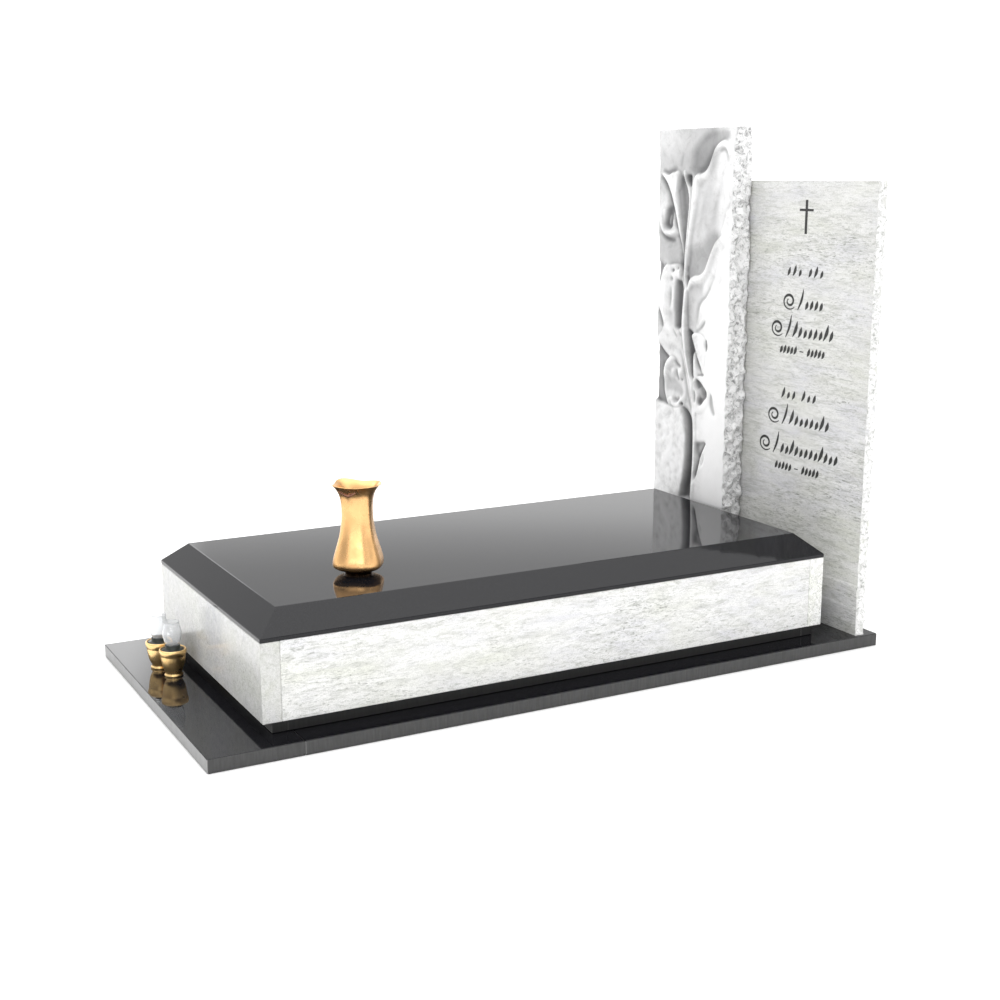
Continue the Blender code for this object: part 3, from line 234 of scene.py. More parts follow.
def carved_stone(name):
    """Pale honed stone; painted shade greys it in the carving's hollows, on slopes facing right and down and over the
    top spathes, and painted light whitens the plain lower right; speckled and rough on the broken edges.
    """
    m = Mat(name, (0.86, 0.86, 0.86), 0.42, 0.0, 1.5)
    v = m.coords()
    at = m.t.nodes.new("ShaderNodeAttribute")
    at.attribute_name = "carve_tone"
    sep = m.t.nodes.new("ShaderNodeSeparateColor")
    m.link(at.outputs["Color"], sep.inputs[0])
    deep, rock, plain = sep.outputs[0], sep.outputs[1], sep.outputs[2]
    cloud = m.ramp(m.noise(v, 22, 6, 0.68, 0.6), [(0.34, (0.66, 0.66, 0.66)), (0.48, (0.80, 0.80, 0.80)),
                                                  (0.64, (0.88, 0.88, 0.885))])
    grain = m.noise(v, 330, 3, 0.6)
    col = m.mix(0.10, cloud, m.ramp(grain, [(0.30, 0.55), (0.62, 1.0)]), "MULTIPLY")
    # painted shade: where the red of carve_tone is low, the colour is mixed towards dark grey
    painted_shade_factor = m.math("POWER", deep, 1.6)
    col = m.mix(painted_shade_factor, m.mix(0.5, (0.085, 0.085, 0.088), cloud, "MULTIPLY"), col)
    # painted light: the blue of carve_tone mixes the plain lower right towards white
    col = m.mix(m.math("MULTIPLY", plain, 0.85), col, (0.945, 0.945, 0.945))
    crystals = m.ramp(m.noise(v, 62, 6, 0.74, 0.9), [(0.37, (0.30, 0.30, 0.30)), (0.46, (0.66, 0.66, 0.66)),
                                                    (0.54, (0.88, 0.88, 0.88))])
    m.colour(m.mix(rock, col, crystals))
    m.rough(m.mix(rock, m.ramp(grain, [(0.3, 0.36), (0.7, 0.50)]), (0.78, 0.78, 0.78)))
    fine = m.bump(m.noise(v, 150, 4, 0.6), 0.10, 0.0006)
    m.normal(m.bump(m.math("MULTIPLY", m.noise(v, 130, 5, 0.7), rock), 0.9, 0.0020, fine))
    return m.m


def cast_bronze(name, colour, brown, rough, foot=None):
    """Satin bronze with faint casting clouds and spots; below the given height the foot is painted dark, as painted
    shade where it sits in shadow.
    """
    m = Mat(name, colour, rough, 1.0, 1.45)
    v = m.coords()
    cloud = m.noise(v, 34, 4, 0.55, 0.4)
    spots = m.noise(v, 420, 3, 0.6)
    col = m.mix(m.ramp(cloud, [(0.42, 0.0), (0.80, 0.35)]), colour, brown)
    col = m.mix(0.12, col, m.ramp(spots, [(0.35, 0.6), (0.6, 1.0)]), "MULTIPLY")
    # painted shade: the foot under the given height is darkened
    if foot is not None:
        sep = m.t.nodes.new("ShaderNodeSeparateXYZ")
        m.link(m.co.outputs["Object"], sep.inputs[0])
        low = m.t.nodes.new("ShaderNodeMapRange")
        low.inputs["From Min"].default_value = foot + 0.002
        low.inputs["From Max"].default_value = foot - 0.002
        m.link(sep.outputs["Z"], low.inputs["Value"])
        col = m.mix(low.outputs[0], col, (0.10, 0.055, 0.03))
    m.colour(col)
    m.rough(m.ramp(cloud, [(0.3, rough - 0.05), (0.7, rough + 0.07)]))
    m.normal(m.bump(m.noise(v, 260, 3, 0.6), 0.05, 0.0004))
    return m.m


def plain_gloss(name, colour, rough, scale=300):
    m = Mat(name, colour, rough, 0.0, 1.5)
    v = m.coords()
    n = m.noise(v, scale, 3, 0.6)
    m.colour(m.ramp(n, [(0.3, tuple(0.75 * c for c in colour)), (0.7, tuple(1.3 * c for c in colour))]))
    m.rough(m.ramp(n, [(0.3, rough - 0.06), (0.7, rough + 0.08)]))
    m.normal(m.bump(n, 0.06, 0.0003))
    return m.m


def lantern_clear():
    """Clear glass: plain values, a little waviness from the blowing."""
    m = Mat("lantern_clear_glass", (0.98, 0.99, 1.0), 0.0, 0.0, 1.45)
    m.b.inputs["Transmission Weight"].default_value = 0.78
    m.normal(m.bump(m.noise(m.coords(), 45, 2, 0.4), 0.03, 0.0008))
    return m.m


MAT = {}
shared_black = black_granite("black_granite_polished")
edged_black = black_granite("black_granite_honed_edges", 0.05)
for n in ("base_front_slab", "base_right_slab", "base_left_slab", "base_rear_slab"):
    MAT[n] = edged_black
dull_black = black_granite("black_granite_honed_strips", 0.022)
for n in ("plinth_front", "plinth_right", "plinth_left", "plinth_rear"):
    MAT[n] = dull_black
MAT["ledger"] = shared_black
# painted shade: body darkens each copy by how little light its faces catch, 0.70 for the kerb front, 0.83 for the
# written slab, 0.90 for the kerb sides
kerb_side = white_granite("white_granite_along_y", "y", (0, 0, 0), 0.22, 0.90, 1.0).m
MAT["kerb_right"] = kerb_side
MAT["kerb_left"] = kerb_side
MAT["kerb_front"] = white_granite("white_granite_front", "", (0.4, 0.1, 0.2), body=0.70).m
MAT["kerb_rear"] = white_granite("white_granite_rear", "x", (0.7, 0.3, 0.1)).m
written = white_granite("white_granite_slab", "x", (0.2, 0.5, 0.9), 0.17, 0.83, 1.1)
add_rock_face(written, 0.4670, 0.4685)
MAT["inscription_slab"] = written.m
for n, mat in MAT.items():
    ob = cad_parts[n]
    ob.data.materials.clear()
    ob.data.materials.append(mat)

relief_stone = carved_stone("carved_white_stone")
stroke_paint = plain_gloss("black_stroke_paint", (0.012, 0.012, 0.011), 0.45)
# the vase's lowest 9.5 mm get the painted shade of the foot
bronze = cast_bronze("golden_bronze", (0.84, 0.50, 0.22), (0.62, 0.34, 0.13), 0.27, TOP + 0.0095)
bronze_dark = cast_bronze("garland_bronze", (0.30, 0.15, 0.10), (0.14, 0.08, 0.07), 0.42)
brass = cast_bronze("lantern_brass_polished", (0.95, 0.66, 0.30), (0.74, 0.42, 0.15), 0.30)
black_plastic = plain_gloss("lantern_black_ring", (0.012, 0.017, 0.012), 0.35)
clear_glass = lantern_clear()


# ---------------------------------------------------------------- lily relief
# A height field, in metres above the deepest ground of the carved face, on a
# regular grid over the slab's width (x) and height (z).
CARVE_X = (-0.4760, -0.0700)
CARVE_Z = (0.2800, 1.4900)


def spline(pts, n, closed=False):
    """Catmull-Rom curve through the given points, n samples a span."""
    p = np.asarray(pts, float)
    m = len(p)
    out = []
    for i in range(m if closed else m - 1):
        if closed:
            a, b, c, d = p[(i - 1) % m], p[i], p[(i + 1) % m], p[(i + 2) % m]
        else:
            a, b, c, d = p[max(i - 1, 0)], p[i], p[i + 1], p[min(i + 2, m - 1)]
        for k in range(n):
            t = k / n
            out.append(0.5 * ((2 * b) + (c - a) * t + (2 * a - 5 * b + 4 * c - d) * t * t
                              + (3 * b - a - 3 * c + d) * t ** 3))
    if not closed:
        out.append(p[-1])
    return np.array(out)


def step(a, b, x):
    t = np.clip((x - a) / (b - a), 0.0, 1.0)
    return t * t * (3 - 2 * t)


def nearest(X, Z, line, closed=False):
    """Distance to a polyline and the running position (0..1) of the nearest point."""
    best = np.full(X.shape, 1e9)
    par = np.zeros(X.shape)
    m = len(line)
    seg = m if closed else m - 1
    for i in range(seg):
        ax, az = line[i][0], line[i][1]
        bx, bz = line[(i + 1) % m][0], line[(i + 1) % m][1]
        dx, dz = bx - ax, bz - az
        t = np.clip(((X - ax) * dx + (Z - az) * dz) / (dx * dx + dz * dz + 1e-15), 0, 1)
        ex, ez = X - ax - t * dx, Z - az - t * dz
        dist = ex * ex + ez * ez
        hit = dist < best
        best = np.where(hit, dist, best)
        par = np.where(hit, (i + t) / seg, par)
    return np.sqrt(best), par


def inside(X, Z, line):
    """Even-odd test against a closed polyline."""
    odd = np.zeros(X.shape, bool)
    m = len(line)
    for i in range(m):
        ax, az = line[i][0], line[i][1]
        bx, bz = line[(i + 1) % m][0], line[(i + 1) % m][1]
        if az == bz:
            continue
        odd ^= ((az > Z) != (bz > Z)) & (X < (bx - ax) * (Z - az) / (bz - az) + ax)
    return odd


def blurred(h, cells):
    """Separable Gaussian, its sigma given in grid cells."""
    r = max(1, int(3 * cells + 0.5))
    k = np.exp(-0.5 * (np.arange(-r, r + 1) / cells) ** 2)
    k /= k.sum()
    for axis in (0, 1):
        pad = [(r, r) if a == axis else (0, 0) for a in (0, 1)]
        big = np.pad(h, pad, mode="edge")
        n = h.shape[axis]
        h = sum(w * (big[i:i + n] if axis == 0 else big[:, i:i + n]) for i, w in enumerate(k))
    return h


class Carving:
    """Leaves, funnels, ridges and hollows laid over each other on a grid."""

    def __init__(self, pitch):
        self.pitch = pitch
        self.x = np.arange(CARVE_X[0], CARVE_X[1] + pitch / 2, pitch)
        self.z = np.arange(CARVE_Z[0], CARVE_Z[1] + pitch / 2, pitch)
        self.X, self.Z = np.meshgrid(self.x, self.z)
        self.H = np.zeros(self.X.shape)

    def window(self, pts, margin):
        p = np.asarray(pts, float)
        i0 = max(0, int((p[:, 0].min() - margin - self.x[0]) / self.pitch))
        i1 = max(i0 + 2, int((p[:, 0].max() + margin - self.x[0]) / self.pitch) + 2)
        j0 = max(0, int((p[:, 1].min() - margin - self.z[0]) / self.pitch))
        j1 = max(j0 + 2, int((p[:, 1].max() + margin - self.z[0]) / self.pitch) + 2)
        return slice(j0, j1), slice(i0, i1)

    def form(self, pts, base, soft=0.004, tilt=(0, 0, 0, 0)):
        """A form with its own level and outline; soft is half the width of its edge."""
        line = spline(pts, 6, True)
        s = self.window(line, 2 * soft)
        X, Z = self.X[s], self.Z[s]
        d, _ = nearest(X, Z, line, True)
        d = np.where(inside(X, Z, line), d, -d)
        w = step(-soft, soft, d)
        x0, z0, gx, gz = tilt
        self.H[s] = self.H[s] * (1 - w) + (base + (X - x0) * gx + (Z - z0) * gz) * w

    def swell(self, pts, rise, blur):
        """Adds a soft-edged plateau (rise > 0) or hollow (rise < 0)."""
        line = spline(pts, 6, True)
        s = self.window(line, 4 * blur)
        m = inside(self.X[s], self.Z[s], line).astype(float)
        self.H[s] = self.H[s] + rise * blurred(m, blur / self.pitch)

    def ridge(self, pts, width, rise):
        """Adds a ridge (rise > 0) or furrow (rise < 0) along a curve; width and rise may vary along it."""
        wide = np.atleast_1d(width).astype(float)
        high = np.atleast_1d(rise).astype(float)
        if len(high) == 1:
            high = high * np.array([0.0, 0.75, 1.0, 1.0, 0.75, 0.0])
        line = spline(pts, 8)
        s = self.window(line, 2.6 * wide.max())
        d, par = nearest(self.X[s], self.Z[s], line)
        w = np.interp(par, np.linspace(0, 1, len(wide)), wide)
        h = np.interp(par, np.linspace(0, 1, len(high)), high)
        self.H[s] = self.H[s] + h * np.exp(-(d / w) ** 2)

    def dot(self, x, z, r, rise):
        s = self.window([(x, z)], 3 * r)
        d2 = (self.X[s] - x) ** 2 + (self.Z[s] - z) ** 2
        self.H[s] = self.H[s] + rise * np.exp(-d2 / (r * r))

    def stem(self, pts, half, high, soft=0.0022):
        """Round stem: pts along its middle, half widths and crown heights along it."""
        line = spline(pts, 8)
        s = self.window(line, max(half) + 2 * soft)
        d, par = nearest(self.X[s], self.Z[s], line)
        w = np.interp(par, np.linspace(0, 1, len(half)), half)
        top = np.interp(par, np.linspace(0, 1, len(high)), high)
        q = np.clip(d / w, 0, 1)
        h = top - (0.50 * w + 0.12 * top) * (1 - (1 - q * q) ** 0.5)
        k = step(-soft, soft, w - d)
        self.H[s] = np.maximum(self.H[s], self.H[s] * (1 - k) + h * k)


def carve(pitch):
    c = Carving(pitch)
    X, Z = c.X, c.Z
    # ground, higher towards the slab's top, with a dressed unevenness
    c.H = 0.0165 + 0.0045 * step(1.36, 1.44, Z) - 0.0035 * step(1.16, 1.12, Z) * step(1.00, 1.06, Z)
    c.H = c.H + 0.0006 * np.sin(31 * X + 9 * Z) * np.sin(17 * Z - 4 * X)
    c.swell([(-0.305, 1.345), (-0.285, 1.37), (-0.270, 1.42), (-0.20, 1.465), (-0.14, 1.47), (-0.10, 1.455),
             (-0.17, 1.41), (-0.20, 1.37), (-0.25, 1.330)], -0.0065, 0.009)
    c.ridge([(-0.275, 1.352), (-0.235, 1.358), (-0.205, 1.385), (-0.180, 1.425)], 0.011, -0.0040)
    c.swell([(-0.48, 1.055), (-0.436, 1.050), (-0.448, 1.00), (-0.48, 0.96)], -0.0075, 0.006)
    # tall spathe: level, rolled left and upper edges, shallow folds, shade under the next spathe
    c.form([(-0.316, 1.04), (-0.312, 1.10), (-0.303, 1.16), (-0.295, 1.22), (-0.289, 1.27), (-0.283, 1.315),
            (-0.270, 1.338), (-0.245, 1.341), (-0.220, 1.350), (-0.200, 1.368), (-0.186, 1.392), (-0.172, 1.418),
            (-0.150, 1.434), (-0.128, 1.439), (-0.108, 1.430), (-0.080, 1.41), (-0.05, 1.30), (-0.05, 1.0),
            (-0.2, 0.95), (-0.3, 0.97)], 0.0185, 0.0045, (-0.2, 1.22, 0.020, 0.006))
    c.ridge([(-0.308, 1.06), (-0.300, 1.13), (-0.288, 1.19), (-0.277, 1.25), (-0.267, 1.30), (-0.258, 1.325)],
            [0.006, 0.008, 0.011, 0.014, 0.018, 0.016], [0.004, 0.0055, 0.0065, 0.0070, 0.0065, 0.0045])
    c.ridge([(-0.262, 1.325), (-0.235, 1.330), (-0.210, 1.343), (-0.192, 1.366), (-0.177, 1.395), (-0.158, 1.418),
             (-0.135, 1.428), (-0.115, 1.422), (-0.104, 1.40)],
            [0.012, 0.012, 0.011, 0.011, 0.012, 0.010, 0.0065, 0.005, 0.004],
            [0.0040, 0.0045, 0.0045, 0.0050, 0.0050, 0.0050, 0.0055, 0.0040, 0.0010])
    c.ridge([(-0.150, 1.405), (-0.130, 1.412), (-0.114, 1.400), (-0.107, 1.370)], 0.006, -0.0028)
    c.ridge([(-0.262, 1.10), (-0.245, 1.18), (-0.225, 1.25), (-0.20, 1.31)], 0.013, -0.0013)
    c.ridge([(-0.225, 1.12), (-0.205, 1.19), (-0.180, 1.26), (-0.155, 1.33)], 0.013, 0.0010)
    c.ridge([(-0.180, 1.17), (-0.165, 1.23), (-0.145, 1.29), (-0.125, 1.34)], 0.013, -0.0012)
    c.swell([(-0.305, 1.02), (-0.24, 1.04), (-0.205, 1.07), (-0.17, 1.12), (-0.145, 1.155), (-0.165, 1.165),
             (-0.20, 1.145), (-0.24, 1.12), (-0.30, 1.10)], -0.0052, 0.012)
    # furrow left of the slender bud, the bud's funnel and its flared lip
    c.ridge([(-0.452, 1.330), (-0.430, 1.312), (-0.408, 1.285), (-0.395, 1.250), (-0.377, 1.205), (-0.361, 1.165),
             (-0.346, 1.125), (-0.338, 1.08)], 0.0080, [-0.004, -0.0070, -0.0070, -0.0060, -0.005, -0.004, -0.003, 0])
    c.stem([(-0.331, 1.06), (-0.334, 1.12), (-0.345, 1.17), (-0.360, 1.23), (-0.376, 1.28), (-0.390, 1.325)],
           [0.0045, 0.0060, 0.0095, 0.0150, 0.0220, 0.0290], [0.0160, 0.0195, 0.0225, 0.0245, 0.0252, 0.0235], 0.005)
    c.form([(-0.449, 1.344), (-0.430, 1.328), (-0.410, 1.306), (-0.396, 1.286), (-0.380, 1.280), (-0.360, 1.290),
            (-0.352, 1.315), (-0.352, 1.335), (-0.362, 1.347), (-0.380, 1.344), (-0.400, 1.337), (-0.420, 1.336)],
           0.0248, 0.0060)
    c.ridge([(-0.444, 1.342), (-0.420, 1.331), (-0.400, 1.331), (-0.380, 1.337), (-0.362, 1.339)], 0.0050, 0.0022)
    c.ridge([(-0.446, 1.354), (-0.420, 1.347), (-0.395, 1.352), (-0.365, 1.361)], 0.0075, -0.0038)
    c.ridge([(-0.350, 1.36), (-0.343, 1.385), (-0.330, 1.41)], 0.008, -0.0015)
    # open bloom with its throat and the shade under it
    c.form([(-0.466, 1.26), (-0.447, 1.283), (-0.427, 1.273), (-0.407, 1.250), (-0.392, 1.222), (-0.374, 1.182),
            (-0.358, 1.152), (-0.385, 1.146), (-0.415, 1.145), (-0.440, 1.156), (-0.460, 1.19)], 0.0178, 0.0045)
    c.swell([(-0.445, 1.245), (-0.425, 1.250), (-0.412, 1.235), (-0.425, 1.21), (-0.443, 1.22)], 0.0030, 0.007)
    c.ridge([(-0.455, 1.230), (-0.449, 1.190), (-0.433, 1.163), (-0.410, 1.154), (-0.385, 1.156), (-0.360, 1.163)],
            0.0075, [0.0015, 0.0050, 0.0070, 0.0070, 0.0055, 0.0015])
    c.ridge([(-0.383, 1.180), (-0.387, 1.200), (-0.392, 1.222)], 0.005, 0.003)
    c.swell([(-0.427, 1.185), (-0.419, 1.172), (-0.402, 1.169), (-0.391, 1.184), (-0.388, 1.210), (-0.395, 1.240),
             (-0.408, 1.230), (-0.420, 1.205)], -0.0115, 0.0045)
    c.ridge([(-0.414, 1.180), (-0.411, 1.195), (-0.405, 1.215)], 0.0042, 0.0045)
    c.ridge([(-0.458, 1.160), (-0.430, 1.141), (-0.400, 1.134), (-0.370, 1.133)], 0.0070, -0.0055)
    # hollow between the buds, thin petal, small dark throat
    c.swell([(-0.347, 1.325), (-0.330, 1.335), (-0.312, 1.30), (-0.303, 1.27), (-0.305, 1.23), (-0.313, 1.18),
             (-0.320, 1.10), (-0.325, 1.05), (-0.341, 1.05), (-0.339, 1.08), (-0.332, 1.12), (-0.331, 1.18),
             (-0.336, 1.23), (-0.345, 1.28)], -0.0082, 0.0055)
    c.stem([(-0.315, 1.02), (-0.314, 1.10), (-0.307, 1.18), (-0.301, 1.23), (-0.2985, 1.265), (-0.305, 1.295),
            (-0.318, 1.318), (-0.330, 1.346)],
           [0.0075, 0.0060, 0.0050, 0.0042, 0.0042, 0.0050, 0.0062, 0.0065],
           [0.0215, 0.0205, 0.0200, 0.0205, 0.0215, 0.0222, 0.0225, 0.0205], 0.003)
    c.swell([(-0.318, 1.330), (-0.308, 1.337), (-0.299, 1.332), (-0.297, 1.315), (-0.298, 1.300), (-0.305, 1.308),
             (-0.314, 1.317)], -0.0165, 0.0038)
    # lower spathe: level, rolled upper edge, running out into the plain right side
    c.form([(-0.300, 0.80), (-0.299, 0.90), (-0.303, 0.96), (-0.298, 1.00), (-0.285, 1.018), (-0.262, 1.026),
            (-0.235, 1.030), (-0.213, 1.046), (-0.198, 1.075), (-0.182, 1.105), (-0.165, 1.132), (-0.145, 1.146),
            (-0.125, 1.162), (-0.108, 1.198), (-0.093, 1.240), (-0.04, 1.27), (-0.04, 0.24), (-0.262, 0.24),
            (-0.250, 0.50), (-0.280, 0.66)], 0.0208, 0.0042, (-0.20, 0.9, 0.022, -0.003))
    c.ridge([(-0.297, 0.985), (-0.284, 1.004), (-0.262, 1.013), (-0.235, 1.018), (-0.207, 1.034), (-0.189, 1.065),
             (-0.174, 1.095), (-0.157, 1.121), (-0.136, 1.133)],
            [0.006, 0.010, 0.012, 0.011, 0.011, 0.010, 0.008, 0.006, 0.005],
            [0.0040, 0.0055, 0.0060, 0.0060, 0.0055, 0.0050, 0.0045, 0.0030, 0.0010])
    c.ridge([(-0.130, 1.158), (-0.112, 1.190), (-0.096, 1.238)], 0.007, 0.0030)
    c.swell([(-0.292, 0.99), (-0.25, 0.998), (-0.215, 0.99), (-0.235, 0.93), (-0.248, 0.85), (-0.288, 0.83)],
            -0.0034, 0.009)
    c.ridge([(-0.247, 0.87), (-0.242, 0.925), (-0.225, 0.950), (-0.203, 0.966), (-0.182, 0.992), (-0.163, 1.025),
             (-0.145, 1.065)], 0.0085, [0, -0.0024, -0.0034, -0.0034, -0.0024, -0.0014, 0])
    c.ridge([(-0.232, 0.90), (-0.218, 0.932), (-0.193, 0.952), (-0.168, 0.982)], 0.009, 0.0014)
    c.ridge([(-0.254, 0.852), (-0.233, 0.860), (-0.212, 0.875), (-0.197, 0.895)], 0.0065, -0.0032)
    c.ridge([(-0.235, 0.872), (-0.217, 0.886), (-0.203, 0.905)], 0.006, 0.0020)
    # hooded bloom, middle left, running down into a stalk that joins the main stem
    c.form([(-0.345, 1.000), (-0.338, 1.02), (-0.336, 1.045), (-0.350, 1.056), (-0.375, 1.057), (-0.400, 1.053),
            (-0.423, 1.051), (-0.438, 1.030), (-0.450, 1.000), (-0.461, 0.96), (-0.457, 0.920), (-0.442, 0.895),
            (-0.430, 0.868), (-0.433, 0.843), (-0.450, 0.825), (-0.466, 0.798), (-0.436, 0.777), (-0.400, 0.761),
            (-0.370, 0.768), (-0.335, 0.745), (-0.310, 0.70), (-0.285, 0.645), (-0.262, 0.60), (-0.255, 0.62),
            (-0.268, 0.68), (-0.290, 0.74), (-0.310, 0.80), (-0.330, 0.85), (-0.350, 0.86), (-0.353, 0.93)],
           0.0195, 0.0045)
    c.ridge([(-0.410, 1.045), (-0.420, 1.00), (-0.427, 0.95), (-0.415, 0.90), (-0.400, 0.865), (-0.395, 0.83)],
            [0.020, 0.026, 0.024, 0.022, 0.018, 0.016], [0.0045, 0.0060, 0.0062, 0.0058, 0.0040, 0])
    c.ridge([(-0.372, 0.99), (-0.374, 0.95), (-0.379, 0.90)], 0.0085, 0.0022)
    c.ridge([(-0.388, 0.99), (-0.388, 0.95), (-0.392, 0.915)], 0.0055, -0.0024)
    c.swell([(-0.400, 0.90), (-0.366, 0.915), (-0.362, 0.87), (-0.395, 0.86)], -0.0022, 0.007)
    for x, z, r, rise in ((-0.370, 1.022, 0.011, 0.0040), (-0.343, 1.034, 0.009, 0.0045), (-0.345, 1.012, 0.008, 0.003),
                          (-0.378, 1.038, 0.0065, -0.0060), (-0.352, 1.046, 0.0055, -0.0055),
                          (-0.384, 1.012, 0.0075, -0.0036), (-0.426, 1.053, 0.006, -0.003)):
        c.dot(x, z, r, rise)
    c.ridge([(-0.466, 0.915), (-0.450, 0.892), (-0.438, 0.865), (-0.436, 0.85)], 0.0075, -0.0050)
    c.ridge([(-0.375, 0.853), (-0.362, 0.836), (-0.347, 0.824)], 0.0042, -0.0030)
    c.ridge([(-0.346, 0.851), (-0.334, 0.838), (-0.326, 0.830)], 0.0042, -0.0032)
    c.ridge([(-0.362, 0.856), (-0.350, 0.843), (-0.337, 0.832)], 0.0040, 0.0030)
    c.ridge([(-0.425, 0.80), (-0.395, 0.79), (-0.355, 0.79), (-0.325, 0.76)], 0.012, -0.0018)
    c.ridge([(-0.338, 0.795), (-0.320, 0.760), (-0.306, 0.715), (-0.291, 0.670), (-0.272, 0.620), (-0.256, 0.580)],
            0.0070, -0.0036)
    # hollow between the hooded bloom and the stem
    c.swell([(-0.355, 1.005), (-0.338, 1.005), (-0.331, 0.98), (-0.333, 0.93), (-0.335, 0.88), (-0.341, 0.857),
             (-0.357, 0.856), (-0.360, 0.90), (-0.357, 0.95)], -0.0140, 0.0048)
    # deep ground at the left edge
    c.swell([(-0.49, 0.815), (-0.452, 0.796), (-0.430, 0.777), (-0.412, 0.765), (-0.392, 0.758), (-0.402, 0.745),
             (-0.418, 0.725), (-0.425, 0.69), (-0.424, 0.66), (-0.415, 0.635), (-0.398, 0.602), (-0.43, 0.604),
             (-0.49, 0.61)], -0.0095, 0.0050)
    c.ridge([(-0.455, 0.795), (-0.430, 0.770), (-0.404, 0.758)], 0.0080, -0.0045)
    c.ridge([(-0.436, 0.745), (-0.434, 0.70), (-0.430, 0.655), (-0.414, 0.62)], 0.0080, -0.0038)
    # nodding bloom, lower left, its mouth turned down
    c.form([(-0.398, 0.753), (-0.416, 0.728), (-0.423, 0.700), (-0.419, 0.670), (-0.413, 0.640), (-0.399, 0.608),
            (-0.375, 0.601), (-0.345, 0.604), (-0.318, 0.602), (-0.300, 0.625), (-0.298, 0.665), (-0.315, 0.700),
            (-0.335, 0.735), (-0.365, 0.758)], 0.0188, 0.0042)
    c.ridge([(-0.378, 0.752), (-0.398, 0.730), (-0.406, 0.705), (-0.405, 0.690)], 0.0145, [0.004, 0.0075, 0.006, 0.001])
    c.dot(-0.326, 0.713, 0.0135, 0.0065)
    c.dot(-0.366, 0.713, 0.0090, 0.0032)
    c.ridge([(-0.362, 0.754), (-0.346, 0.738), (-0.328, 0.730)], 0.0055, -0.0052)
    c.ridge([(-0.350, 0.725), (-0.345, 0.703), (-0.334, 0.685)], 0.0065, -0.0042)
    c.ridge([(-0.326, 0.693), (-0.312, 0.690)], 0.0055, -0.0040)
    c.swell([(-0.412, 0.685), (-0.37, 0.690), (-0.335, 0.680), (-0.31, 0.655), (-0.325, 0.636), (-0.36, 0.648),
             (-0.405, 0.650)], -0.0040, 0.007)
    c.ridge([(-0.396, 0.612), (-0.376, 0.622), (-0.364, 0.606), (-0.345, 0.604), (-0.326, 0.620), (-0.306, 0.636)],
            0.0065, [0.002, 0.0048, 0.0048, 0.004, 0.0045, 0.001])
    c.ridge([(-0.358, 0.630), (-0.345, 0.622), (-0.330, 0.634)], 0.0075, -0.0045)
    c.ridge([(-0.326, 0.612), (-0.312, 0.614)], 0.0060, -0.0070)
    c.ridge([(-0.414, 0.675), (-0.409, 0.645), (-0.398, 0.618)], 0.006, 0.0022)
    # broad plain leaf at the lower left and the deep groove beside it
    c.form([(-0.54, 0.20), (-0.54, 0.600), (-0.44, 0.601), (-0.400, 0.598), (-0.360, 0.596), (-0.325, 0.600),
            (-0.303, 0.592), (-0.288, 0.572), (-0.281, 0.53), (-0.279, 0.47), (-0.281, 0.41), (-0.293, 0.35),
            (-0.308, 0.24)], 0.0205, 0.0060, (-0.4, 0.45, 0.01, 0.004))
    dress = blurred(np.random.RandomState(5).uniform(-1, 1, X.shape), 0.0065 / pitch)
    c.H = c.H + 0.0007 * dress / dress.std() * step(0.60, 0.575, Z) * step(-0.285, -0.305, X) * 0.6
    c.ridge([(-0.450, 0.36), (-0.40, 0.43), (-0.365, 0.51), (-0.35, 0.58)], 0.018, 0.0010)
    c.swell([(-0.318, 0.600), (-0.295, 0.593), (-0.277, 0.578), (-0.262, 0.548), (-0.253, 0.51), (-0.250, 0.46),
             (-0.253, 0.41), (-0.258, 0.37), (-0.262, 0.33), (-0.266, 0.24), (-0.316, 0.24), (-0.305, 0.33),
             (-0.292, 0.375), (-0.284, 0.42), (-0.281, 0.47), (-0.282, 0.52), (-0.290, 0.56), (-0.303, 0.584)],
            -0.0185, 0.0065)
    # ground sunk beside the right-hand blooms
    c.swell([(-0.290, 0.850), (-0.270, 0.842), (-0.259, 0.825), (-0.248, 0.800), (-0.254, 0.780), (-0.254, 0.740),
             (-0.250, 0.713), (-0.272, 0.710), (-0.281, 0.74), (-0.285, 0.79)], -0.0150, 0.0050)
    c.ridge([(-0.274, 0.81), (-0.270, 0.77), (-0.268, 0.73)], 0.008, -0.0030)
    # main stem, foot to crown
    c.stem([(-0.250, 0.22), (-0.246, 0.34), (-0.240, 0.42), (-0.239, 0.50), (-0.243, 0.57), (-0.252, 0.63),
            (-0.266, 0.69), (-0.284, 0.745), (-0.299, 0.80), (-0.309, 0.86), (-0.310, 0.92), (-0.309, 0.97),
            (-0.3115, 1.03)],
           [0.0120, 0.0125, 0.0125, 0.0125, 0.0115, 0.0105, 0.0105, 0.0125, 0.0150, 0.0165, 0.0125, 0.0090, 0.0070],
           [0.0238, 0.0242, 0.0246, 0.0250, 0.0252, 0.0254, 0.0258, 0.0264, 0.0272, 0.0272, 0.0262, 0.0245, 0.0218],
           0.0055)
    c.swell([(-0.252, 0.24), (-0.240, 0.36), (-0.236, 0.44), (-0.234, 0.52), (-0.238, 0.585), (-0.205, 0.585),
             (-0.205, 0.53), (-0.232, 0.49), (-0.229, 0.44), (-0.236, 0.40), (-0.246, 0.36), (-0.235, 0.30),
             (-0.230, 0.24)], 0.0016, 0.0065)
    c.ridge([(-0.3235, 0.90), (-0.3215, 0.94), (-0.3225, 1.00)], 0.0030, -0.0050)
    c.ridge([(-0.311, 1.025), (-0.304, 1.010), (-0.312, 0.975)], 0.0060, -0.0070)
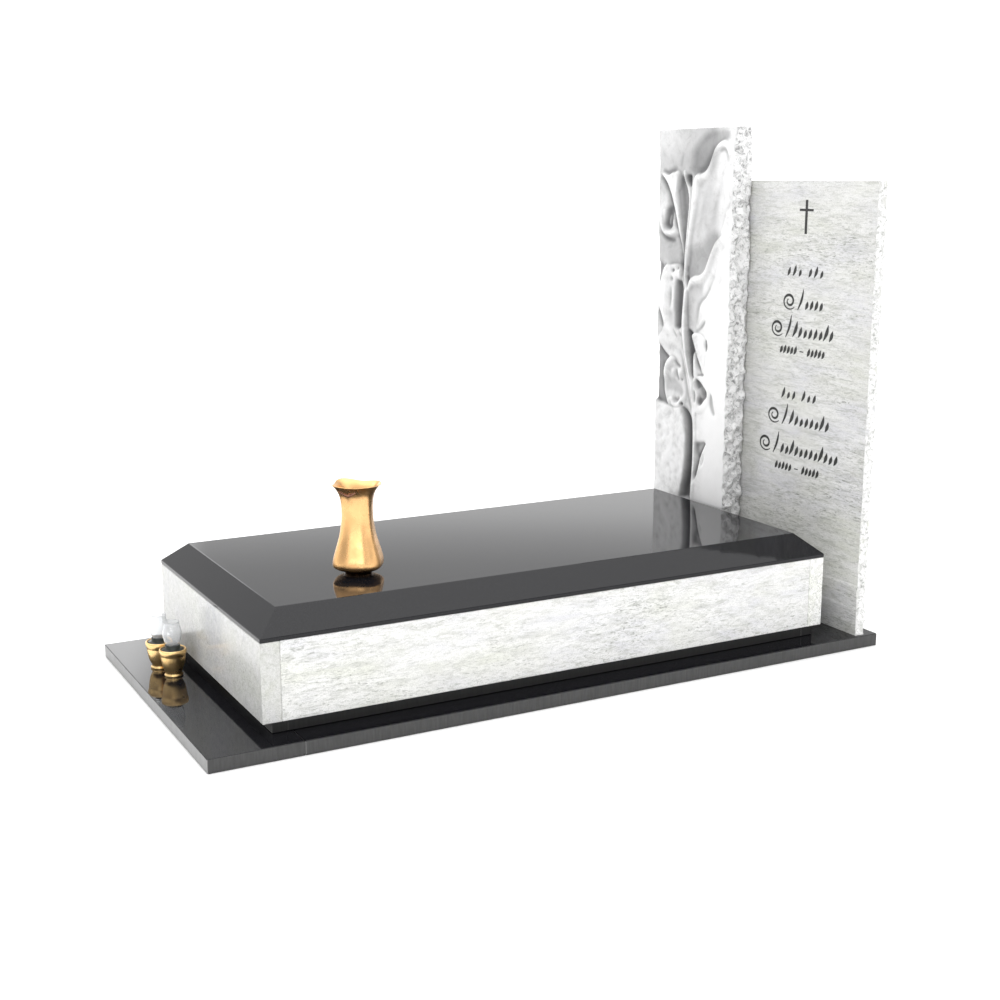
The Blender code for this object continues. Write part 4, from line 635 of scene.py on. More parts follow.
    # right-hand blooms: petals, slit, cup with its throat
    c.form([(-0.264, 0.840), (-0.240, 0.846), (-0.215, 0.842), (-0.197, 0.828), (-0.191, 0.795), (-0.199, 0.76),
            (-0.206, 0.725), (-0.222, 0.735), (-0.235, 0.765), (-0.247, 0.797)], 0.0240, 0.0038, (-0.22, 0.78, -0.02, 0.03))
    c.form([(-0.255, 0.792), (-0.247, 0.765), (-0.236, 0.735), (-0.234, 0.710), (-0.252, 0.708), (-0.2575, 0.75)],
           0.0235, 0.0028)
    c.ridge([(-0.248, 0.788), (-0.237, 0.763), (-0.224, 0.742), (-0.210, 0.720)], 0.0058, [-0.005, -0.0095, -0.0095, -0.001])
    c.ridge([(-0.246, 0.704), (-0.224, 0.715), (-0.196, 0.721)], 0.0048, -0.0045)
    c.form([(-0.187, 0.828), (-0.170, 0.824), (-0.162, 0.80), (-0.158, 0.76), (-0.148, 0.70), (-0.138, 0.645),
            (-0.165, 0.68), (-0.185, 0.74), (-0.188, 0.79)], 0.0245, 0.006)
    c.ridge([(-0.189, 0.826), (-0.188, 0.812), (-0.187, 0.797)], 0.0048, [-0.004, -0.0085, -0.003])
    c.ridge([(-0.186, 0.775), (-0.172, 0.765), (-0.160, 0.775)], 0.008, -0.0020)
    c.form([(-0.252, 0.702), (-0.222, 0.713), (-0.190, 0.699), (-0.171, 0.672), (-0.171, 0.640), (-0.190, 0.610),
            (-0.222, 0.596), (-0.250, 0.604), (-0.256, 0.655)], 0.0238, 0.0050)
    c.swell([(-0.242, 0.701), (-0.222, 0.696), (-0.202, 0.681), (-0.186, 0.666), (-0.186, 0.649), (-0.200, 0.637),
             (-0.217, 0.620), (-0.229, 0.628), (-0.223, 0.65), (-0.233, 0.672)], -0.0125, 0.0042)
    c.dot(-0.193, 0.660, 0.009, -0.0045)
    c.ridge([(-0.229, 0.676), (-0.219, 0.660), (-0.210, 0.642)], 0.0065, 0.0055)
    c.ridge([(-0.246, 0.668), (-0.245, 0.645), (-0.243, 0.622)], 0.0065, -0.0055)
    c.swell([(-0.159, 0.670), (-0.148, 0.64), (-0.134, 0.600), (-0.150, 0.598), (-0.166, 0.63)], -0.0050, 0.0055)
    # little leaf folded at the foot of the stem
    c.swell([(-0.228, 0.495), (-0.205, 0.503), (-0.183, 0.507), (-0.188, 0.488), (-0.204, 0.470), (-0.213, 0.450),
             (-0.226, 0.462)], -0.0070, 0.0042)
    c.form([(-0.180, 0.499), (-0.180, 0.46), (-0.184, 0.43), (-0.200, 0.411), (-0.224, 0.398), (-0.216, 0.43),
            (-0.205, 0.462), (-0.191, 0.484)], 0.0228, 0.0030)
    c.ridge([(-0.187, 0.470), (-0.194, 0.443), (-0.206, 0.422)], 0.0065, -0.0032)
    c.ridge([(-0.183, 0.502), (-0.200, 0.479), (-0.214, 0.453), (-0.222, 0.424), (-0.232, 0.394), (-0.245, 0.366)],
            [0.003, 0.005, 0.0060, 0.0060, 0.0058, 0.004], [-0.002, -0.0060, -0.0080, -0.0070, -0.0060, -0.001])
    c.H = np.clip(blurred(c.H, 0.0013 / pitch), 0.0, 0.0300)
    return c


def relief(X, Z, pitch=0.0025):
    """Carved heights at the given places, read from the grid."""
    c = carve(pitch)
    X, Z = np.asarray(X, float), np.asarray(Z, float)
    i = np.clip((X - c.x[0]) / pitch, 0, len(c.x) - 1.001)
    j = np.clip((Z - c.z[0]) / pitch, 0, len(c.z) - 1.001)
    a, b = i.astype(int), j.astype(int)
    u, v = i - a, j - b
    H = c.H
    return (H[b, a] * (1 - u) * (1 - v) + H[b, a + 1] * u * (1 - v) + H[b + 1, a] * (1 - u) * v
            + H[b + 1, a + 1] * u * v)


# ================================================================== pieces
GAP = 0.0003
BASE_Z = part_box("relief_slab")[0][2]
RELIEF_X0, RELIEF_X1 = -0.4640, -0.0820
RELIEF_FRONT_Y, RELIEF_GROUND, RELIEF_BACK_Y = 0.8445, 0.0300, 0.9240
RELIEF_TOP, RELIEF_FOOT = 1.4780, 0.3000
TEXT_X0, TEXT_X1 = -0.2000, 0.4680
TEXT_FRONT_Y, TEXT_THK, TEXT_TOP = 0.9270, 0.0320, 1.3200
STROKE_DEPTH = 0.0025


def finish_piece(name, verts, faces, mat, nodes=(), smooth=40):
    me = bpy.data.meshes.new(name)
    me.from_pydata([tuple(v) for v in verts], [], faces)
    me.validate()
    ob = bpy.data.objects.new(name, me)
    scene.collection.objects.link(ob)
    bm = bmesh.new()
    bm.from_mesh(me)
    bmesh.ops.recalc_face_normals(bm, faces=bm.faces)
    bm.to_mesh(me)
    bm.free()
    settle(ob, mat, nodes, smooth)
    return ob


def settle(ob, mat, nodes, smooth):
    """Material, shading and the calls that tie a piece to the frame."""
    ob.data.materials.clear()
    ob.data.materials.append(mat)
    ob.data.shade_smooth()
    ob.data.set_sharp_from_angle(angle=math.radians(smooth))
    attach(ob, "root")
    if nodes:
        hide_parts(*nodes)


def ring_faces(n_rings, n, closed_rings=False):
    """Quads between rings of n points; end caps unless the rings close on themselves."""
    out = []
    last = n_rings if closed_rings else n_rings - 1
    for k in range(last):
        a, b = k * n, ((k + 1) % n_rings) * n
        for i in range(n):
            j = (i + 1) % n
            out.append((a + i, a + j, b + j, b + i))
    if not closed_rings:
        out.append(tuple(range(n))[::-1])
        out.append(tuple((n_rings - 1) * n + i for i in range(n)))
    return out


def broken(u, v, size, seed, deep=0.0035, curl=18.0):
    """Height of a pitched rock face: hollow flakes that meet in sharp ridges."""
    rng = np.random.RandomState(seed)
    gu = np.arange(u.min() - size, u.max() + 2 * size, size)
    gv = np.arange(v.min() - size, v.max() + 2 * size, size)
    su, sv = [a.ravel() for a in np.meshgrid(gu, gv)]
    su = su + rng.uniform(-0.42, 0.42, su.shape) * size
    sv = sv + rng.uniform(-0.42, 0.42, sv.shape) * size
    h0 = rng.uniform(0, deep, su.shape)
    tu, tv = rng.uniform(-0.30, 0.30, su.shape), rng.uniform(-0.30, 0.30, su.shape)
    best = np.full(u.shape, 1e9)
    for a, b, h, p, q in zip(su, sv, h0, tu, tv):
        du, dv = u - a, v - b
        near = (np.abs(du) < 3 * size) & (np.abs(dv) < 3 * size)
        cand = h + p * du + q * dv + curl * (du * du + dv * dv)
        best = np.where(near & (cand < best), cand, best)
    return best - best.mean()


def rock_edge(t, z, depth, seed, amount):
    """Rock-faced edge: t runs 0..1 through the slab's thickness, z up the slab."""
    u = t * depth
    h = 1.35 * broken(u, z, 0.030, seed, 0.0050, 13.0) + 0.75 * broken(u, z, 0.0110, seed + 1, 0.0026, 32.0)
    rng = np.random.RandomState(seed + 2)
    h = h + 0.00025 * rng.uniform(-1, 1, h.shape)
    return np.clip(amount * h, -0.0072, 0.0072)


def lean(x, z):
    """The slab grows a little wider towards its top, almost all of it on the left."""
    return x - 0.0125 * min(1.0, max(0.0, (z - 0.45) / 1.03)) * (RELIEF_X1 - x) / (RELIEF_X1 - RELIEF_X0)


def relief_piece(mat):
    """The carved slab: fine front grid, rock-faced sides, sawn back and top."""
    pitch = 0.0019
    c = carve(pitch)
    H = c.H
    # painted shade: the tone is darker in the carving's hollows and on its lower ground, where shade falls
    hollow = 75 * np.clip(blurred(H, 0.014 / pitch) - H, 0, 1) + 110 * np.clip(blurred(H, 0.005 / pitch) - H, 0, 1)
    tone = np.clip(1 - hollow, 0.15, 1) * np.clip(0.80 + 40 * (H - 0.0165), 0.30, 1.02)
    # painted shade on the slopes that face right and downwards, away from a light at the upper left
    soft = blurred(H, 0.006 / pitch)
    slope_shade = np.clip(-np.gradient(soft, axis=1) / pitch - 0.05, 0, 0.6) + 0.5 * np.clip(np.gradient(soft, axis=0) / pitch - 0.05, 0, 0.6)
    tone = tone * (1 - 0.62 * np.clip(slope_shade, 0, 0.8))
    # painted shade over the heavy spathes at the top, growing darker towards the right
    GX, GZ = np.meshgrid(c.x, c.z)
    top_left = np.clip((GZ - 1.330) / 0.05, 0, 1) * np.clip((-0.150 - GX) / 0.03, 0, 1)
    shade_top = 0.90 - 0.20 * np.clip((GX + 0.43) / 0.2, 0, 1)
    tone = tone * (1 - top_left * (1 - shade_top))
    # painted shade on the interior of the tall leaf in the middle
    leaf = np.clip(1 - np.abs(GX + 0.190) / 0.055, 0, 1) * np.clip(1 - np.abs(GZ - 1.20) / 0.17, 0, 1)
    tone = tone * (1 - 0.17 * np.clip(2 * leaf, 0, 1))
    # painted light: the plain lower right is marked to be lifted towards white where it is not in the hollows
    plain = np.clip((GX + 0.235) / 0.05, 0, 1) * np.clip((1.06 - GZ) / 0.15, 0, 1)
    white = plain * np.clip((tone - 0.70) / 0.2, 0, 1)
    n_front, n_right, n_left = 141, 21, 9
    cols = np.linspace(RELIEF_X0, RELIEF_X1, n_front)
    levels = np.concatenate([[BASE_Z, 0.150, 0.240, RELIEF_FOOT - 0.02],
                             np.arange(RELIEF_FOOT - 0.008, RELIEF_TOP - 0.0012, 0.0029), [RELIEF_TOP]])

    def read(G, X, Z):
        i = np.clip((X - c.x[0]) / pitch, 0, len(c.x) - 1.001)
        j = np.clip((Z - c.z[0]) / pitch, 0, len(c.z) - 1.001)
        a, b = i.astype(int), j.astype(int)
        u, v = i - a, j - b
        return (G[b, a] * (1 - u) * (1 - v) + G[b, a + 1] * u * (1 - v) + G[b + 1, a] * (1 - u) * v
                + G[b + 1, a + 1] * u * v)

    X, Z = np.meshgrid(cols, levels)
    h = read(H, X, Z)
    flat = np.clip((RELIEF_FOOT + 0.012 - Z) / 0.02, 0, 1)
    h = h * (1 - flat) + 0.020 * flat
    shade = read(tone, X, Z) * (1 - flat) + 0.9 * flat
    # lift carries that painted light onto the mesh
    lift = read(white, X, Z)
    # carved face turns over softly into the sawn top
    h = h - 0.0016 * np.clip((Z - (RELIEF_TOP - 0.004)) / 0.004, 0, 1) ** 2
    y_front = RELIEF_FRONT_Y + RELIEF_GROUND - h
    t_r = np.linspace(0, 1, n_right)
    t_l = np.linspace(1, 0, n_left)
    TR, ZR = np.meshgrid(t_r, levels)
    right = rock_edge(TR, ZR, 0.0795, 11, 1.15)
    TL, ZL = np.meshgrid(t_l, levels)
    left = rock_edge(TL, ZL, 0.0795, 31, 0.7)
    verts, tones, rocks, lifts = [], [], [], []
    for k, z in enumerate(levels):
        ya, yb, yc = y_front[k, -1], RELIEF_BACK_Y, y_front[k, 0]
        edge_r = 0.0012 + 0.45 * right[k, 0]
        edge_l = -0.0004 - 0.35 * left[k, -1]
        for i, x in enumerate(cols):
            pull = max(0.0, (x - (RELIEF_X1 - 0.004)) / 0.004) * edge_r
            push = max(0.0, ((RELIEF_X0 + 0.004) - x) / 0.004) * edge_l
            verts.append((x + pull + push, y_front[k, i], z))
            tones.append(shade[k, i])
            rocks.append(0.0)
            lifts.append(lift[k, i])
        for j in range(1, n_right):
            t = t_r[j]
            bulge = 0.0012 + 0.0032 * math.sin(math.pi * min(1.0, 1.15 * t)) ** 0.6 + right[k, j]
            verts.append((RELIEF_X1 + bulge - 0.0030 * max(0.0, (t - 0.9) / 0.1), ya + (yb - ya) * t, z))
            tones.append(1.0)
            rocks.append(1.0 if t < 0.999 else 0.0)
            lifts.append(0.0)
        for j in range(0, n_left - 1):
            t = t_l[j]
            bulge = -0.0004 + 0.0014 * math.sin(math.pi * t) + 0.6 * left[k, j]
            verts.append((RELIEF_X0 - bulge + 0.0020 * max(0.0, (t - 0.9) / 0.1), yc + (yb - yc) * t, z))
            tones.append(1.0)
            rocks.append(1.0 if t < 0.999 else 0.0)
            lifts.append(0.0)
    verts = [(lean(x, z), y, z) for x, y, z in verts]
    n = n_front + (n_right - 1) + (n_left - 1)
    ob = finish_piece("carved_slab", verts, ring_faces(len(levels), n), mat, ("relief_slab",), 52)
    # carve_tone: red is the painted shade tone, green marks the rock-faced edges, blue is the painted light on the
    # plain lower right
    data = ob.data.color_attributes.new("carve_tone", "FLOAT_COLOR", "POINT")
    flat_rgba = np.ones((len(verts), 4), dtype=np.float32)
    flat_rgba[:, 0] = np.clip(tones, 0, 1)
    flat_rgba[:, 1] = rocks
    flat_rgba[:, 2] = lifts
    data.data.foreach_set("color", flat_rgba.ravel())
    return ob


# ------------------------------------------------------- strokes and cross
# Rows: middle x, foot z, length, height of the tall strokes, number of strokes, style
ROWS = (
    (0.178, 1.046, 0.150, 0.036, 6, "mark"),
    (0.212, 0.952, 0.105, 0.048, 5, "name"),
    (0.212, 0.868, 0.205, 0.052, 9, "name"),
    (0.178, 0.816, 0.160, 0.026, 10, "date"),
    (0.172, 0.682, 0.145, 0.036, 6, "mark"),
    (0.212, 0.606, 0.205, 0.050, 9, "name"),
    (0.216, 0.514, 0.285, 0.052, 13, "name"),
    (0.176, 0.464, 0.160, 0.026, 10, "date"),
)
CROSS_X, CROSS_FOOT, CROSS_TOP, CROSS_BAR_Z, CROSS_SPAN = 0.1735, 1.1690, 1.2665, 1.2375, 0.062
CROSS_W, CROSS_BAR = 0.0115, 0.0070
SLANT = 0.42


def stroke_lines():
    """Slanting, swelling strokes in rows, with a double curl before the long rows; none of them is a letter."""
    out = []
    for r, (mid, foot, length, tall, count, style) in enumerate(ROWS):
        for k in range(1 if style == "name" else 0, count):
            t = (k + 0.5) / count
            x = mid - length / 2 + length * t
            if style == "date":
                x += 0.022 * (1 if t > 0.5 else -1)
                high = tall * (0.86 + 0.14 * ((k * 2 + r) % 3) / 2)
                wide = 0.0100
            elif style == "mark":
                x += 0.010 * (1 if t > 0.5 else -1)
                high = tall * (0.72, 0.92, 0.60)[(k + r) % 3]
                wide = 0.0096
            else:
                high = tall * (0.58, 0.50, 0.62, 0.92, 0.52, 0.60)[(k * 5 + 2 * r) % 6]
                wide = 0.0112
            bow = 0.09 * high
            line, width = [], []
            for i in range(13):
                s = i / 12
                line.append((x + SLANT * high * (s - 0.5) + bow * math.sin(math.pi * s), foot + high * s))
                width.append(0.0026 + wide * math.sin(math.pi * s) ** 1.1)
            out.append((line, width))
        if style == "name":
            cx, cz = mid - length / 2 - 0.046, foot + 0.42 * tall
            line, width = [], []
            for i in range(41):
                s = i / 40
                a = math.radians(120 + 560 * s)
                rad = 0.0060 + 0.0175 * s
                line.append((cx + 1.30 * rad * math.cos(a), cz + 1.08 * rad * math.sin(a)))
                width.append(0.0030 + 0.0056 * math.sin(math.pi * s) ** 1.1)
            out.append((line, width))
            line, width = [], []
            for i in range(19):
                s = i / 18
                line.append((cx + 0.038 + 0.024 * s + 0.005 * math.sin(math.pi * s), foot - 0.004 + 1.30 * tall * s))
                width.append(0.0032 + 0.0068 * math.sin(math.pi * s) ** 1.1)
            out.append((line, width))
        if style == "date":
            out.append(([(mid - 0.009 + 0.018 * i / 4, foot + 0.45 * tall) for i in range(5)], [0.0034] * 5))
    return out


def bar(mid, widths, y0, y1, verts, faces):
    """Closed bar along a line in the XZ plane, from y0 to y1."""
    left, right = [], []
    for i, (x, z) in enumerate(mid):
        ax, az = mid[max(i - 1, 0)]
        bx, bz = mid[min(i + 1, len(mid) - 1)]
        dx, dz = bx - ax, bz - az
        n = math.hypot(dx, dz)
        w = widths[i] / 2
        left.append((x - dz / n * w, z + dx / n * w))
        right.append((x + dz / n * w, z - dx / n * w))
    m, base = len(mid), len(verts)
    for y in (y0, y1):
        verts.extend((x, y, z) for x, z in left)
        verts.extend((x, y, z) for x, z in right)
    L0, R0, L1, R1 = base, base + m, base + 2 * m, base + 3 * m
    for i in range(m - 1):
        faces.append((L0 + i, L0 + i + 1, R0 + i + 1, R0 + i))
        faces.append((L1 + i, R1 + i, R1 + i + 1, L1 + i + 1))
        faces.append((L0 + i, L1 + i, L1 + i + 1, L0 + i + 1))
        faces.append((R0 + i, R0 + i + 1, R1 + i + 1, R1 + i))
    faces.append((L0, R0, R1, L1))
    e = m - 1
    faces.append((L0 + e, L1 + e, R1 + e, R0 + e))


def cross_prism(y0, y1, shrink, verts, faces):
    w, s, h = CROSS_W / 2 - shrink, CROSS_SPAN / 2 - shrink, CROSS_BAR / 2 - shrink
    foot, top = CROSS_FOOT + shrink, CROSS_TOP - shrink
    outline = [(-w, foot), (w, foot), (w, CROSS_BAR_Z - h), (s, CROSS_BAR_Z - h), (s, CROSS_BAR_Z + h),
               (w, CROSS_BAR_Z + h), (w, top), (-w, top), (-w, CROSS_BAR_Z + h), (-s, CROSS_BAR_Z + h),
               (-s, CROSS_BAR_Z - h), (-w, CROSS_BAR_Z - h)]
    b = len(verts)
    for y in (y0, y1):
        verts.extend((CROSS_X + x, y, z) for x, z in outline)
    faces.append(tuple(b + i for i in range(12)))
    faces.append(tuple(b + 12 + i for i in range(12))[::-1])
    for i in range(12):
        j = (i + 1) % 12
        faces.append((b + i, b + 12 + i, b + 12 + j, b + j))


def inscription_piece(mat, paint):
    rows = 330
    levels = np.linspace(BASE_Z, TEXT_TOP, rows)
    n_edge = 10
    t = np.linspace(0, 1, n_edge)
    T, Z = np.meshgrid(t, levels)
    rough = rock_edge(T, Z, TEXT_THK, 57, 0.80)
    verts = []
    for k, z in enumerate(levels):
        verts.append((TEXT_X0, TEXT_FRONT_Y, z))
        for j in range(n_edge):
            bulge = 0.45 * rough[k, 0] if j == 0 else 0.0015 + 0.0020 * math.sin(math.pi * t[j]) + rough[k, j]
            verts.append((TEXT_X1 + bulge, TEXT_FRONT_Y + TEXT_THK * t[j], z))
        verts.append((TEXT_X0, TEXT_FRONT_Y + TEXT_THK, z))
    me = bpy.data.meshes.new("written_slab")
    me.from_pydata(verts, [], ring_faces(rows, n_edge + 2))
    ob = bpy.data.objects.new("written_slab", me)
    scene.collection.objects.link(ob)
    cv, cf = [], []
    for line, width in stroke_lines():
        bar(line, width, TEXT_FRONT_Y - 0.01, TEXT_FRONT_Y + STROKE_DEPTH, cv, cf)
    cross_prism(TEXT_FRONT_Y - 0.01, TEXT_FRONT_Y + STROKE_DEPTH, 0.0, cv, cf)
    cm = bpy.data.meshes.new("stroke_cutter")
    cm.from_pydata(cv, [], cf)
    cutter = bpy.data.objects.new("stroke_cutter", cm)
    scene.collection.objects.link(cutter)
    for m in (me, cm):
        bm = bmesh.new()
        bm.from_mesh(m)
        bmesh.ops.recalc_face_normals(bm, faces=bm.faces)
        bm.to_mesh(m)
        bm.free()
    cut = ob.modifiers.new("strokes", "BOOLEAN")
    cut.operation = "DIFFERENCE"
    cut.object = cutter
    cut.solver = "EXACT"
    cut.use_self = True
    deps = bpy.context.evaluated_depsgraph_get()
    done = bpy.data.meshes.new_from_object(ob.evaluated_get(deps))
    ob.modifiers.clear()
    ob.data = done
    bpy.data.objects.remove(cutter, do_unlink=True)
    settle(ob, mat, ("inscription_slab",), 40)
    # paint filling the cut strokes, just below the face
    pv, pf = [], []
    y0, y1 = TEXT_FRONT_Y + 0.0004, TEXT_FRONT_Y + STROKE_DEPTH - 0.0001
    for line, width in stroke_lines():
        bar(line, [max(0.0007, w - 0.0002) for w in width], y0, y1, pv, pf)
    cross_prism(y0, y1, 0.0001, pv, pf)
    finish_piece("stroke_paint", pv, pf, paint, (), 40)
    return ob


# -------------------------------------------------------------------- vase
VASE_AT = (0.157, -0.484)
VASE_HGT, VASE_WALL = 0.2330, 0.0025
VASE_TURN = math.radians(-33.0)     # direction of the face that looks down the grave
VASE_OUT = ((0.000, 0.0345), (0.005, 0.0360), (0.0080, 0.0380), (0.0100, 0.0455), (0.0130, 0.0550), (0.018, 0.0606),
            (0.023, 0.0628), (0.030, 0.0631), (0.040, 0.0617), (0.055, 0.0578), (0.075, 0.0522), (0.100, 0.0455),
            (0.125, 0.0413), (0.145, 0.0394), (0.165, 0.0390), (0.185, 0.0400), (0.205, 0.0436), (0.218, 0.0490),
            (0.227, 0.0550), (VASE_HGT, 0.0608))


def profile(pts, per):
    """Smooth run of (z, r) pairs through a turned profile."""
    return [(float(p[0]), float(p[1])) for p in spline(pts, per)]


def vase_point(r, z, a):
    """Soft four-sided section growing out of the round foot; the mouth is drawn into four curling points."""
    th = a - VASE_TURN
    square = min(1.0, max(0.0, (z - 0.008) / 0.014))
    sup = (abs(math.cos(th)) ** 3.2 + abs(math.sin(th)) ** 3.2) ** (-1 / 3.2)
    r = r * (1 + square * (sup - 1))
    k = max(0.0, (z - 0.195) / (VASE_HGT - 0.195)) ** 1.6
    c = -math.cos(4 * th)
    far = max(0.0, math.cos(th - math.radians(135))) ** 2
    r = r * (1 + 0.028 * k * c)
    z = z + k * (0.0018 * c - 0.0047 * far)
    return VASE_AT[0] + r * math.cos(a), VASE_AT[1] + r * math.sin(a), TOP + GAP + z


def vase_piece(mat):
    n = 112
    outer = profile(VASE_OUT, 4)
    rings = [(z, r, 0.0) for z, r in outer]
    rings.append((VASE_HGT + 0.0009, outer[-1][1] - VASE_WALL * 0.55, 0.0))
    for z, r in outer[::-1]:
        if z > 0.0125:
            rings.append((z, r - VASE_WALL * 1.25, 0.0))
    rings.append((0.0105, 0.034, 0.0))
    verts = []
    for z, r, _ in rings:
        for i in range(n):
            verts.append(vase_point(r, z, 2 * math.pi * i / n))
    return finish_piece("bronze_vase", verts, ring_faces(len(rings), n), mat, ("vase",), 60)


def garland_piece(mat):
    """Small cast swag under the lip: beads and leaves strung between two of the points."""
    verts, faces = [], []

    def blob(a, z, size, flat, turn=0.0):
        nu, nv = 12, 8
        x, y, zz = vase_point(float(np.interp(z, [p[0] for p in VASE_OUT], [p[1] for p in VASE_OUT])), z, a)
        nrm = Vector((math.cos(a), math.sin(a), 0.0))
        side = Vector((-math.sin(a), math.cos(a), 0.0))
        up = Vector((0, 0, 1))
        ct, st = math.cos(turn), math.sin(turn)
        u = side * ct + up * st
        v = up * ct - side * st
        mid = Vector((x, y, zz)) - nrm * 0.0004
        b = len(verts)
        for i in range(nv + 1):
            ph = -math.pi / 2 + math.pi * i / nv
            for j in range(nu):
                q = 2 * math.pi * j / nu
                p = mid + u * size[0] * math.cos(ph) * math.cos(q) + v * size[1] * math.cos(ph) * math.sin(q) \
                    + nrm * flat * math.sin(ph)
                verts.append(tuple(p))
        for i in range(nv):
            for j in range(nu):
                k = (j + 1) % nu
                faces.append((b + i * nu + j, b + i * nu + k, b + (i + 1) * nu + k, b + (i + 1) * nu + j))

    a0, a1 = math.radians(-72), math.radians(-30)
    for i in range(10):
        s = i / 9
        a = a0 + (a1 - a0) * s
        z = 0.2190 - 0.0085 * math.sin(math.pi * s)
        blob(a, z, (0.0040 + 0.0012 * math.sin(math.pi * s), 0.0027 + 0.0012 * math.sin(math.pi * s)),
             0.0016 + 0.0014 * math.sin(math.pi * s), (0.8 if i % 2 else -0.5) + 0.5 * (0.5 - s))
    mid = a0 + 0.72 * (a1 - a0)
    for k in range(5):
        q = 2 * math.pi * k / 5
        blob(mid + 0.085 * math.cos(q), 0.2140 + 0.0036 * math.sin(q), (0.0028, 0.0021), 0.0026, q)
    blob(mid, 0.2140, (0.0020, 0.0020), 0.0038)
    return finish_piece("vase_garland", verts, faces, mat, (), 60)


# ---------------------------------------------------------------- lanterns
LANTERN_SPOTS = (("lantern_left", (-0.2095, -0.9150)), ("lantern_right", (-0.1275, -0.9010)))
POT_OUT = ((0.000, 0.0240), (0.004, 0.0250), (0.007, 0.0215), (0.012, 0.0220), (0.024, 0.0275), (0.042, 0.0315),
           (0.056, 0.0328), (0.062, 0.0350), (0.068, 0.0362), (0.073, 0.0355))
POT_IN = ((0.073, 0.0315), (0.0690, 0.0308), (0.0682, 0.0275), (0.050, 0.0280), (0.030, 0.0245), (0.016, 0.0180),
          (0.014, 0.0100))
COLLAR = ((0.0693, 0.0125), (0.0693, 0.0292), (0.0735, 0.0292), (0.0745, 0.0205), (0.0850, 0.0197), (0.0850, 0.0176),
          (0.0765, 0.0156), (0.0757, 0.0156), (0.0757, 0.0125))
GLASS_OUT = ((0.0761, 0.0150), (0.084, 0.0160), (0.094, 0.0212), (0.108, 0.0250), (0.122, 0.0250), (0.134, 0.0222),
             (0.142, 0.0205), (0.148, 0.0212))
GLASS_WALL = 0.0016


def eased(pts, cut, closed=False):
    """Corner points of a profile replaced by two points just beside them."""
    m = len(pts)
    out = [] if closed else [pts[0]]
    for i in range(0 if closed else 1, m if closed else m - 1):
        a, b, c = pts[i - 1], pts[i], pts[(i + 1) % m]
        for p in (a, c):
            d = math.hypot(p[0] - b[0], p[1] - b[1])
            f = min(0.4, cut / d)
            out.append((b[0] + (p[0] - b[0]) * f, b[1] + (p[1] - b[1]) * f))
    return out if closed else out + [pts[-1]]


def lantern_piece(name, at, brass, black, glass):
    n = 72

    def turn(pts, z0=BASE_TOP + GAP):
        out = []
        for z, r in pts:
            for i in range(n):
                a = 2 * math.pi * i / n
                out.append((at[0] + r * math.cos(a), at[1] + r * math.sin(a), z0 + z))
        return out

    foot = eased(list(POT_OUT[:3]), 0.0008)
    body = profile(POT_OUT[2:7], 5)
    rim = profile(POT_OUT[6:], 5)
    pot = foot[:-1] + body[:-1] + rim + [(0.0742, 0.0345), (0.0744, 0.0332), (0.0740, 0.0320)]
    pot += eased(list(POT_IN), 0.0006)
    finish_piece(name + "_brass_pot", turn(pot), ring_faces(len(pot), n), brass, (name + "_pot",), 60)
    ring = eased(list(COLLAR), 0.0003, True)
    finish_piece(name + "_black_ring", turn(ring), ring_faces(len(ring), n, True), black,
                 (name + "_collar",), 50)
    wall = profile(GLASS_OUT, 5)
    inner = [(z, r - GLASS_WALL) for z, r in wall[::-1]]
    lip = [(wall[-1][0] + 0.0006, wall[-1][1] - GLASS_WALL * 0.5)]
    loop = wall + lip + inner
    finish_piece(name + "_clear_glass", turn(loop), ring_faces(len(loop), n, True), glass,
                 (name + "_glass",), 60)


relief_piece(relief_stone)
inscription_piece(MAT["inscription_slab"], stroke_paint)
vase_piece(bronze)
garland_piece(bronze_dark)
for lantern_name, spot in LANTERN_SPOTS:
    lantern_piece(lantern_name, spot, brass, black_plastic, clear_glass)

# ================================================================== stage
floor_mat = Mat("floor_white", (0.93, 0.93, 0.93), 0.9)
bpy.ops.mesh.primitive_plane_add(size=80, location=(0, 0, -0.0004))
floor = bpy.context.object
floor.name = "floor"
floor.data.materials.append(floor_mat.m)

world = bpy.data.worlds.new("studio")
scene.world = world
world.use_nodes = True
wt = world.node_tree
bg = wt.nodes["Background"]
tc = wt.nodes.new("ShaderNodeTexCoord")
sep = wt.nodes.new("ShaderNodeSeparateXYZ")
wt.links.new(tc.outputs["Generated"], sep.inputs[0])
up = wt.nodes.new("ShaderNodeValToRGB")
steps = ((0.000, 1.45), (0.205, 1.45), (0.222, 1.40), (0.238, 1.02), (0.256, 0.80), (0.400, 0.84), (0.500, 1.05),
         (0.700, 1.75), (0.950, 2.60))
stops = up.color_ramp.elements
while len(stops) > 1:
    stops.remove(stops[-1])
stops[0].position, stops[0].color = 0.0, (steps[0][1] / 4,) * 3 + (1,)
for place, level in steps[1:]:
    stops.new(place).color = (level / 4,) * 3 + (1,)
wt.links.new(sep.outputs["Z"], up.inputs["Fac"])
front = wt.nodes.new("ShaderNodeMath")
front.operation = "SUBTRACT"
wt.links.new(sep.outputs["X"], front.inputs[0])
wt.links.new(sep.outputs["Y"], front.inputs[1])
dim = wt.nodes.new("ShaderNodeMapRange")
dim.interpolation_type = "SMOOTHSTEP"
dim.inputs["From Min"].default_value = 0.2
dim.inputs["From Max"].default_value = 1.3
dim.inputs["To Min"].default_value = 1.0
dim.inputs["To Max"].default_value = 0.62
wt.links.new(front.outputs[0], dim.inputs["Value"])
mul = wt.nodes.new("ShaderNodeMath")
mul.operation = "MULTIPLY"
wt.links.new(up.outputs["Color"], mul.inputs[0])
wt.links.new(dim.outputs[0], mul.inputs[1])


